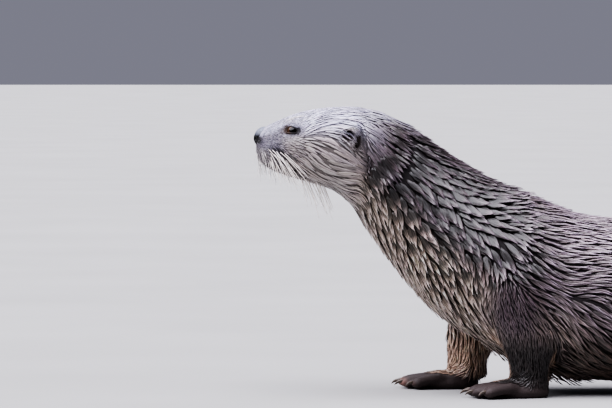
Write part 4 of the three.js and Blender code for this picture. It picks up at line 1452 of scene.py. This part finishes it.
def tapered_hairs(name, starts, directions, lengths, droops, root_widths, colours, sides=5, rows=8):
    """Closed tapering tubes, one for each start, that bend down by their droop."""
    many = len(starts)
    t = np.linspace(0, 1, rows)[None, :, None]
    directions = unit(directions)
    line = starts[:, None] + directions[:, None] * (t * lengths[:, None, None])
    line[:, :, 2] -= t[..., 0] ** 2 * (droops * lengths)[:, None]
    line -= directions[:, None] * 0.8 * (1 - t) ** 3
    ahead = unit(np.gradient(line, axis=1))
    beside = unit(np.cross(ahead, np.array([0.31, 0.12, 0.94])))
    over = np.cross(ahead, beside)
    angle = (np.arange(sides) / sides * 2 * math.pi)[None, None, :, None]
    radius = 0.5 * root_widths[:, None, None] * (1 - 0.8 * t**1.3)
    around = beside[:, :, None] * np.cos(angle) + over[:, :, None] * np.sin(angle)
    ring = line[:, :, None] + around * radius[..., None]
    points = ring.reshape(-1, 3)
    faces = []
    for hair in range(many):
        start = hair * rows * sides
        for row in range(rows - 1):
            for k in range(sides):
                j = (k + 1) % sides
                low = start + row * sides
                faces.append((low + k, low + j, low + sides + j, low + sides + k))
        faces.append(tuple(start + k for k in reversed(range(sides))))
        faces.append(tuple(start + (rows - 1) * sides + k for k in range(sides)))
    mesh = bpy.data.meshes.new(name)
    mesh.from_pydata(to_metres(points).tolist(), [], faces)
    mesh.polygons.foreach_set("use_smooth", np.ones(len(mesh.polygons), bool))
    painted(mesh, np.repeat(colours, rows * sides, 0))
    piece = bpy.data.objects.new(name, mesh)
    bpy.context.scene.collection.objects.link(piece)
    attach(piece, "root")
    HAIRS.append(piece)


def skin_at_side(back, up, out):
    """The outermost point of the skin at a place in the side view."""
    hit = skin_tree.ray_cast(Vector((out * 150, back, up)), Vector((-out, 0, 0)))
    return np.array(hit[0]) if hit[0] is not None else None


# %% Whiskers
# back and up of the root, tilt in degrees, outward share, length in mm, droop, root width in mm
WHISKER_ROWS = []
for row, (up, tilt) in enumerate(((232, -50), (228.5, -58), (225, -66), (221.5, -72))):
    for k in range(5):
        back = 13.5 + 3.6 * k + 0.8 * row
        WHISKER_ROWS.append((back, up - 1.0 * k, tilt + 3 * k, 0.45, 25 + 3.0 * k - 2 * row, 0.10, 0.8))
for k in range(9):
    tilt, reach = -70 + 3 * (k % 3), 26 + 2.5 * (k % 4)
    WHISKER_ROWS.append((44 + 2.6 * k, 206 - 0.9 * k, tilt, 0.3, reach, 0.05, 1.0))
for k in range(3):
    WHISKER_ROWS.append((31 + 2.5 * k, 259 + 0.6 * k, 38 - 5 * k, 0.5, 20, 0.2, 0.5))
HAIR_PALE = linear("#efeae6")
HAIR_TAN = linear("#c9b8a4")

for out, side in ((1, "left"), (-1, "right")):
    starts, directions, lengths, droops, widths = [], [], [], [], []
    for back, up, tilt, outward, reach, droop, thick in WHISKER_ROWS:
        spot = skin_at_side(back + rng.normal(0, 0.5), up + rng.normal(0, 0.4), out)
        angle = math.radians(tilt + rng.normal(0, 5))
        starts.append(spot)
        directions.append([out * outward, math.cos(angle), math.sin(angle)])
        lengths.append(reach * rng.uniform(0.85, 1.15))
        droops.append(droop)
        widths.append(thick)
    pale = rng.uniform(0, 0.5, len(starts))
    colours = mixed(np.repeat(HAIR_PALE[None], len(starts), 0), HAIR_TAN, pale)
    shapes = [np.array(values) for values in (starts, directions, lengths, droops, widths)]
    tapered_hairs(f"whiskers_{side}", *shapes, colours)

# %% Fringe of the lip
FRINGE_EACH_SIDE = 70
for out, side in ((1, "left"), (-1, "right")):
    starts, directions, lengths = [], [], []
    for _ in range(FRINGE_EACH_SIDE):
        along = rng.random() ** 0.8
        back = -0.5 + 33 * along
        up = float(mouth_up(back)) + 0.2 + 12 * rng.random() ** 1.7
        if back < 5:
            hit = skin_tree.ray_cast(Vector((out * rng.uniform(1, 15), -30, up)), Vector((0, 1, 0)))
            spot = np.array(hit[0]) if hit[0] is not None else None
        else:
            spot = skin_at_side(back, up, out)
        if spot is None:
            continue
        angle = math.radians(-84 + 30 * along + rng.normal(0, 9))
        starts.append(spot)
        directions.append([out * 0.22, math.cos(angle) - 0.10 * (1 - along), math.sin(angle)])
        lengths.append((5 + 16 * rng.random() ** 1.5) * (1 - 0.2 * along))
    starts, directions, lengths = np.array(starts), np.array(directions), np.array(lengths)
    pale = rng.uniform(0, 0.4, len(starts))
    colours = mixed(np.repeat(HAIR_PALE[None], len(starts), 0), HAIR_TAN, pale)
    colours[rng.random(len(starts)) < 0.3] = MUZZLE_GREY * 0.35
    droops = np.full(len(starts), 0.12)
    widths = rng.uniform(0.35, 0.8, len(starts))
    shapes = (starts, directions, lengths, droops, widths)
    tapered_hairs(f"lip_fringe_{side}", *shapes, colours, sides=4, rows=6)
print("whiskers", 2 * len(WHISKER_ROWS), "lip hairs on the right", len(starts))

# %% [markdown]
# ## Materials
#
# Every finish is a principled surface whose patterns come from real sizes in millimetres. One small
# function adds a node with its settings and links, so that a finish reads as a short list.

# %% A helper for nodes
def set_inputs(tree, node, inputs):
    """Links each input to a socket, or sets it to a value."""
    for key, value in inputs.items():
        if isinstance(value, bpy.types.NodeSocket):
            tree.links.new(value, node.inputs[key])
        else:
            node.inputs[key].default_value = value


def add(tree, kind, inputs=None, stops=(), **settings):
    """Adds a node with its settings and inputs and, on a colour ramp, its stops of place and colour."""
    node = tree.nodes.new(kind)
    for key, value in settings.items():
        setattr(node, key, value)
    set_inputs(tree, node, inputs or {})
    for _ in stops[2:]:
        node.color_ramp.elements.new(0.5)
    for count, (position, colour) in enumerate(stops):
        node.color_ramp.elements[count].position = position
        node.color_ramp.elements[count].color = (*colour, 1)
    return node


def new_material(name):
    """An empty material with its output and a principled surface."""
    material = bpy.data.materials.new(name)
    material.use_nodes = True
    tree = material.node_tree
    tree.nodes.clear()
    output = tree.nodes.new("ShaderNodeOutputMaterial")
    surface = tree.nodes.new("ShaderNodeBsdfPrincipled")
    tree.links.new(surface.outputs[0], output.inputs[0])
    print("material", name)
    return material, tree, surface


def grey(value):
    return (value, value, value)


# %% [markdown]
# ### Wet guard hair
#
# Keratin hairs soaked with water: brown pigment under a thin film, so highlights are strong and a
# little blurred. Single hairs are 0.05 mm across, too fine to show, so the strands are drawn at
# about half a millimetre, along each lock's own map.

# %% Wet guard hair
STRAND_MM = 0.5  # drawn ten times coarser than the real hair
STREAK_MM = 14  # how far a streak runs along its lock
MULTIPLIED = {"data_type": "RGBA", "blend_type": "MULTIPLY"}

WET_GUARD_HAIR, tree, surface = new_material("wet guard hair")
tint = add(tree, "ShaderNodeAttribute", attribute_name="Tint").outputs["Color"]
strand = add(tree, "ShaderNodeUVMap", uv_map="Strand").outputs[0]
per_mm = (1 / STRAND_MM, 1 / STREAK_MM, 1)
stretched = add(tree, "ShaderNodeMapping", {"Vector": strand, "Scale": per_mm}).outputs[0]
texture = {"Vector": stretched, "Scale": 1.0, "Detail": 2.5, "Roughness": 0.6}
streaks = add(tree, "ShaderNodeTexNoise", texture).outputs["Fac"]
stops = [(0.3, grey(0.62)), (0.7, grey(1.25))]
shade = add(tree, "ShaderNodeValToRGB", {"Fac": streaks}, stops).outputs["Color"]
colour = add(tree, "ShaderNodeMix", {"Factor": 1.0, "A": tint, "B": shade}, **MULTIPLIED)
bump = add(tree, "ShaderNodeBump", {"Height": streaks, "Strength": 0.85, "Distance": 0.5 * MM})
set_inputs(tree, surface, {"Base Color": colour.outputs["Result"], "Normal": bump.outputs[0]})
set_inputs(tree, surface, {"Roughness": 0.36, "IOR": 1.55})
set_inputs(tree, surface, {"Coat Weight": 0.35, "Coat Roughness": 0.22, "Coat IOR": 1.33})

# %% [markdown]
# ### Wet skin and underfur
#
# Under the guard hairs lies dense, short underfur, which is matt because little of it gets wet. It reads
# the same kind of colour per point as the coat does. Its down is far finer than the picture can show,
# so it is drawn as a mottle about a millimetre wide.

# %% Wet skin and underfur
WET_SKIN, tree, surface = new_material("wet skin and underfur")
tint = add(tree, "ShaderNodeAttribute", attribute_name="Tint").outputs["Color"]
where = add(tree, "ShaderNodeTexCoord").outputs["Object"]
texture = {"Vector": where, "Scale": 1 / (1.1 * MM), "Detail": 3.0, "Roughness": 0.6}
down = add(tree, "ShaderNodeTexNoise", texture).outputs["Fac"]
stops = [(0.3, grey(0.7)), (0.72, grey(1.2))]
shade = add(tree, "ShaderNodeValToRGB", {"Fac": down}, stops).outputs["Color"]
colour = add(tree, "ShaderNodeMix", {"Factor": 1.0, "A": tint, "B": shade}, **MULTIPLIED)
bump = add(tree, "ShaderNodeBump", {"Height": down, "Strength": 0.5, "Distance": 0.3 * MM})
set_inputs(tree, surface, {"Base Color": colour.outputs["Result"], "Normal": bump.outputs[0]})
set_inputs(tree, surface, {"Roughness": 0.62, "Specular IOR Level": 0.3})

# %% [markdown]
# ### Nose leather
#
# The nose pad is black wet leather with pebbles under a millimetre wide, which are the cells of a
# Voronoi pattern. Its upper side is made grey, to stand in for the glare of a wet pad under an open
# sky, which gloss alone doesn't give under these plain lights.

# %% Wet nose leather
PEBBLE_MM = 0.9
GLARE_FROM, GLARE_FULL = 0.2440, 0.2490  # metres up, where the grey starts and where it is full

WET_NOSE, tree, surface = new_material("wet nose leather")
where = add(tree, "ShaderNodeTexCoord").outputs["Object"]
texture = {"Vector": where, "Scale": 1 / (PEBBLE_MM * MM)}
pebbles = add(tree, "ShaderNodeTexVoronoi", texture, feature="SMOOTH_F1").outputs["Distance"]
height = add(tree, "ShaderNodeSeparateXYZ", {"Vector": where}).outputs["Z"]
span = {"Value": height, "From Min": GLARE_FROM, "From Max": GLARE_FULL}
upper = add(tree, "ShaderNodeMapRange", span).outputs["Result"]
stops = [(0.15, linear("#0e0e11")), (0.75, linear("#050506"))]
black = add(tree, "ShaderNodeValToRGB", {"Fac": pebbles}, stops).outputs["Color"]
stops = [(0.15, linear("#7b7f8c")), (0.75, linear("#565964"))]
glare = add(tree, "ShaderNodeValToRGB", {"Fac": pebbles}, stops).outputs["Color"]
colour = add(tree, "ShaderNodeMix", {"Factor": upper, "A": black, "B": glare}, data_type="RGBA")
pressed = {"Height": pebbles, "Strength": 0.55, "Distance": 0.3 * MM}
bump = add(tree, "ShaderNodeBump", pressed, invert=True)
set_inputs(tree, surface, {"Base Color": colour.outputs["Result"], "Normal": bump.outputs[0]})
set_inputs(tree, surface, {"Roughness": 0.42, "Specular IOR Level": 0.22})

# %% [markdown]
# ### Wet eye
#
# The eye is a clear wet ball: black pupil, dark brown iris, and nearly black beyond. The angle from the
# gaze, written on the ball, runs through a colour ramp, and a little noise makes the iris's fibres.

# %% Wet eye
WET_EYE, tree, surface = new_material("wet eye")
gaze = add(tree, "ShaderNodeAttribute", attribute_name="Gaze").outputs["Fac"]
where = add(tree, "ShaderNodeTexCoord").outputs["Object"]
texture = {"Vector": where, "Scale": 1 / (0.7 * MM), "Detail": 3.0}
fibres = add(tree, "ShaderNodeTexNoise", texture).outputs["Fac"]
wavering = add(tree, "ShaderNodeMath", {0: fibres, 1: 0.06, 2: gaze}, operation="MULTIPLY_ADD")
stops = [(0.32, linear("#040303")), (0.38, linear("#1d130d")), (0.55, linear("#3f2c20"))]
stops += [(0.74, linear("#35251a")), (0.90, linear("#0d0908"))]
iris = add(tree, "ShaderNodeValToRGB", {"Fac": wavering.outputs[0]}, stops).outputs["Color"]
set_inputs(tree, surface, {"Base Color": iris, "Roughness": 0.12, "IOR": 1.38})
set_inputs(tree, surface, {"Specular IOR Level": 0.3, "Coat Weight": 0.12, "Coat Roughness": 0.02})

# %% [markdown]
# ### Claw horn and whisker keratin
#
# Both are keratin. Claws are brown and glossy, with growth streaks along them, so their noise is
# stretched along the foot. Whiskers are smooth and pale, and only vary a little along their length.

# %% Claw horn
CLAW_HORN, tree, surface = new_material("claw horn")
where = add(tree, "ShaderNodeTexCoord").outputs["Object"]
per_mm = (1 / (0.7 * MM), 1 / (6 * MM), 1 / (0.7 * MM))
grain = add(tree, "ShaderNodeMapping", {"Vector": where, "Scale": per_mm}).outputs[0]
layers = add(tree, "ShaderNodeTexNoise", {"Vector": grain, "Scale": 1.0, "Detail": 2.0}).outputs["Fac"]
stops = [(0.3, linear("#332b26")), (0.7, linear("#5e5248"))]
colour = add(tree, "ShaderNodeValToRGB", {"Fac": layers}, stops).outputs["Color"]
bump = add(tree, "ShaderNodeBump", {"Height": layers, "Strength": 0.3, "Distance": 0.1 * MM})
set_inputs(tree, surface, {"Base Color": colour, "Normal": bump.outputs[0], "Roughness": 0.35})

# %% Whisker keratin
WHISKER_KERATIN, tree, surface = new_material("whisker keratin")
tint = add(tree, "ShaderNodeAttribute", attribute_name="Tint").outputs["Color"]
where = add(tree, "ShaderNodeTexCoord").outputs["Object"]
texture = {"Vector": where, "Scale": 1 / (4 * MM), "Detail": 1.0}
along = add(tree, "ShaderNodeTexNoise", texture).outputs["Fac"]
stops = [(0.3, grey(0.8)), (0.7, grey(1.1))]
shade = add(tree, "ShaderNodeValToRGB", {"Fac": along}, stops).outputs["Color"]
colour = add(tree, "ShaderNodeMix", {"Factor": 1.0, "A": tint, "B": shade}, **MULTIPLIED)
set_inputs(tree, surface, {"Base Color": colour.outputs["Result"], "Roughness": 0.3})

# %% [markdown]
# ### Giving each piece its finish
#
# Each piece is of one stuff all over, so it carries one finish. A copied solid may bring one along, so
# the list of a mesh is emptied first.

# %% Giving each piece its finish
def finish_with(pieces, material):
    for piece in pieces:
        piece.data.materials.clear()
        piece.data.materials.append(material)


finish_with([skin], WET_SKIN)
finish_with([pad], WET_NOSE)
finish_with(COAT, WET_GUARD_HAIR)
finish_with(EYE_BALLS, WET_EYE)
finish_with(CLAWS, CLAW_HORN)
finish_with(HAIRS, WHISKER_KERATIN)
print("pieces finished", 2 + len(COAT + EYE_BALLS + CLAWS + HAIRS))

# %% [markdown]
# ## Floor, light and camera
#
# A plain pale floor, a dim and faintly blue sky all round, and one broad light from overhead. A wet
# coat shows its form by what it reflects: that light falls on head and back, and leaves belly and legs
# dark. The camera stands at the otter's left side with a long lens, and frames its front half.

# %% Floor
FLOOR_SIZE = 60  # metres across; from low down, its far edge shows below the sky

deselect()
bpy.ops.mesh.primitive_plane_add(size=FLOOR_SIZE)
floor = bpy.context.object
floor.name = "floor"
floor_finish, tree, surface = new_material("matt pale floor")
where = add(tree, "ShaderNodeTexCoord").outputs["Object"]
mottle = add(tree, "ShaderNodeTexNoise", {"Vector": where, "Scale": 3.0, "Detail": 2.0}).outputs["Fac"]
stops = [(0.3, linear("#8f8f8e")), (0.7, linear("#949493"))]
colour = add(tree, "ShaderNodeValToRGB", {"Fac": mottle}, stops).outputs["Color"]
set_inputs(tree, surface, {"Base Color": colour, "Roughness": 0.9})
finish_with([floor], floor_finish)

# %% Light
SKY_COLOUR, SKY_STRENGTH = (0.82, 0.82, 1.0, 1), 0.24
LIGHT_FROM, LIGHT_STRENGTH = (0.42, -0.75, 2.2), 9.5
LIGHT_SPREAD, LIGHT_COLOUR = 80, (0.94, 0.92, 1.0)  # degrees wide, and a little blue


def aim(thing, spot):
    thing.rotation_euler = (Vector(spot) - thing.location).to_track_quat("-Z", "Y").to_euler()


# deep darks and bright glints, as a wet coat has
bpy.context.scene.view_settings.view_transform = "AgX"
bpy.context.scene.view_settings.look = "AgX - High Contrast"
light_data = bpy.data.lights.new("overhead", "SUN")
light_data.energy = LIGHT_STRENGTH
light_data.angle = math.radians(LIGHT_SPREAD)
light_data.color = LIGHT_COLOUR
light = bpy.data.objects.new("overhead", light_data)
bpy.context.scene.collection.objects.link(light)
light.location = LIGHT_FROM
aim(light, (0, 0, 0))
world = bpy.data.worlds.new("pale sky")
bpy.context.scene.world = world
world.use_nodes = True
sky = world.node_tree.nodes["Background"]
set_inputs(world.node_tree, sky, {"Color": SKY_COLOUR, "Strength": SKY_STRENGTH})
print("light spreads over", LIGHT_SPREAD, "degrees")

# %% Camera
CAMERA_FAR = 4.5  # metres
CAMERA_RISE = math.radians(2)
FRAMED = Vector((0, -0.4809, 0.17955))  # metres, the spot in the middle of the picture
VIEW_WIDTH = 0.5814  # metres across the picture, at the otter's middle
SENSOR_MM = 36

camera_data = bpy.data.cameras.new("camera")
camera_data.sensor_width = SENSOR_MM
camera_data.lens = SENSOR_MM * CAMERA_FAR / VIEW_WIDTH
camera_data.clip_start = 0.1
camera_data.clip_end = 100
camera = bpy.data.objects.new("camera", camera_data)
bpy.context.scene.collection.objects.link(camera)
camera.location = FRAMED + Vector((math.cos(CAMERA_RISE), 0, math.sin(CAMERA_RISE))) * CAMERA_FAR
aim(camera, FRAMED)
bpy.context.scene.camera = camera
print("camera lens", round(camera_data.lens), "mm")
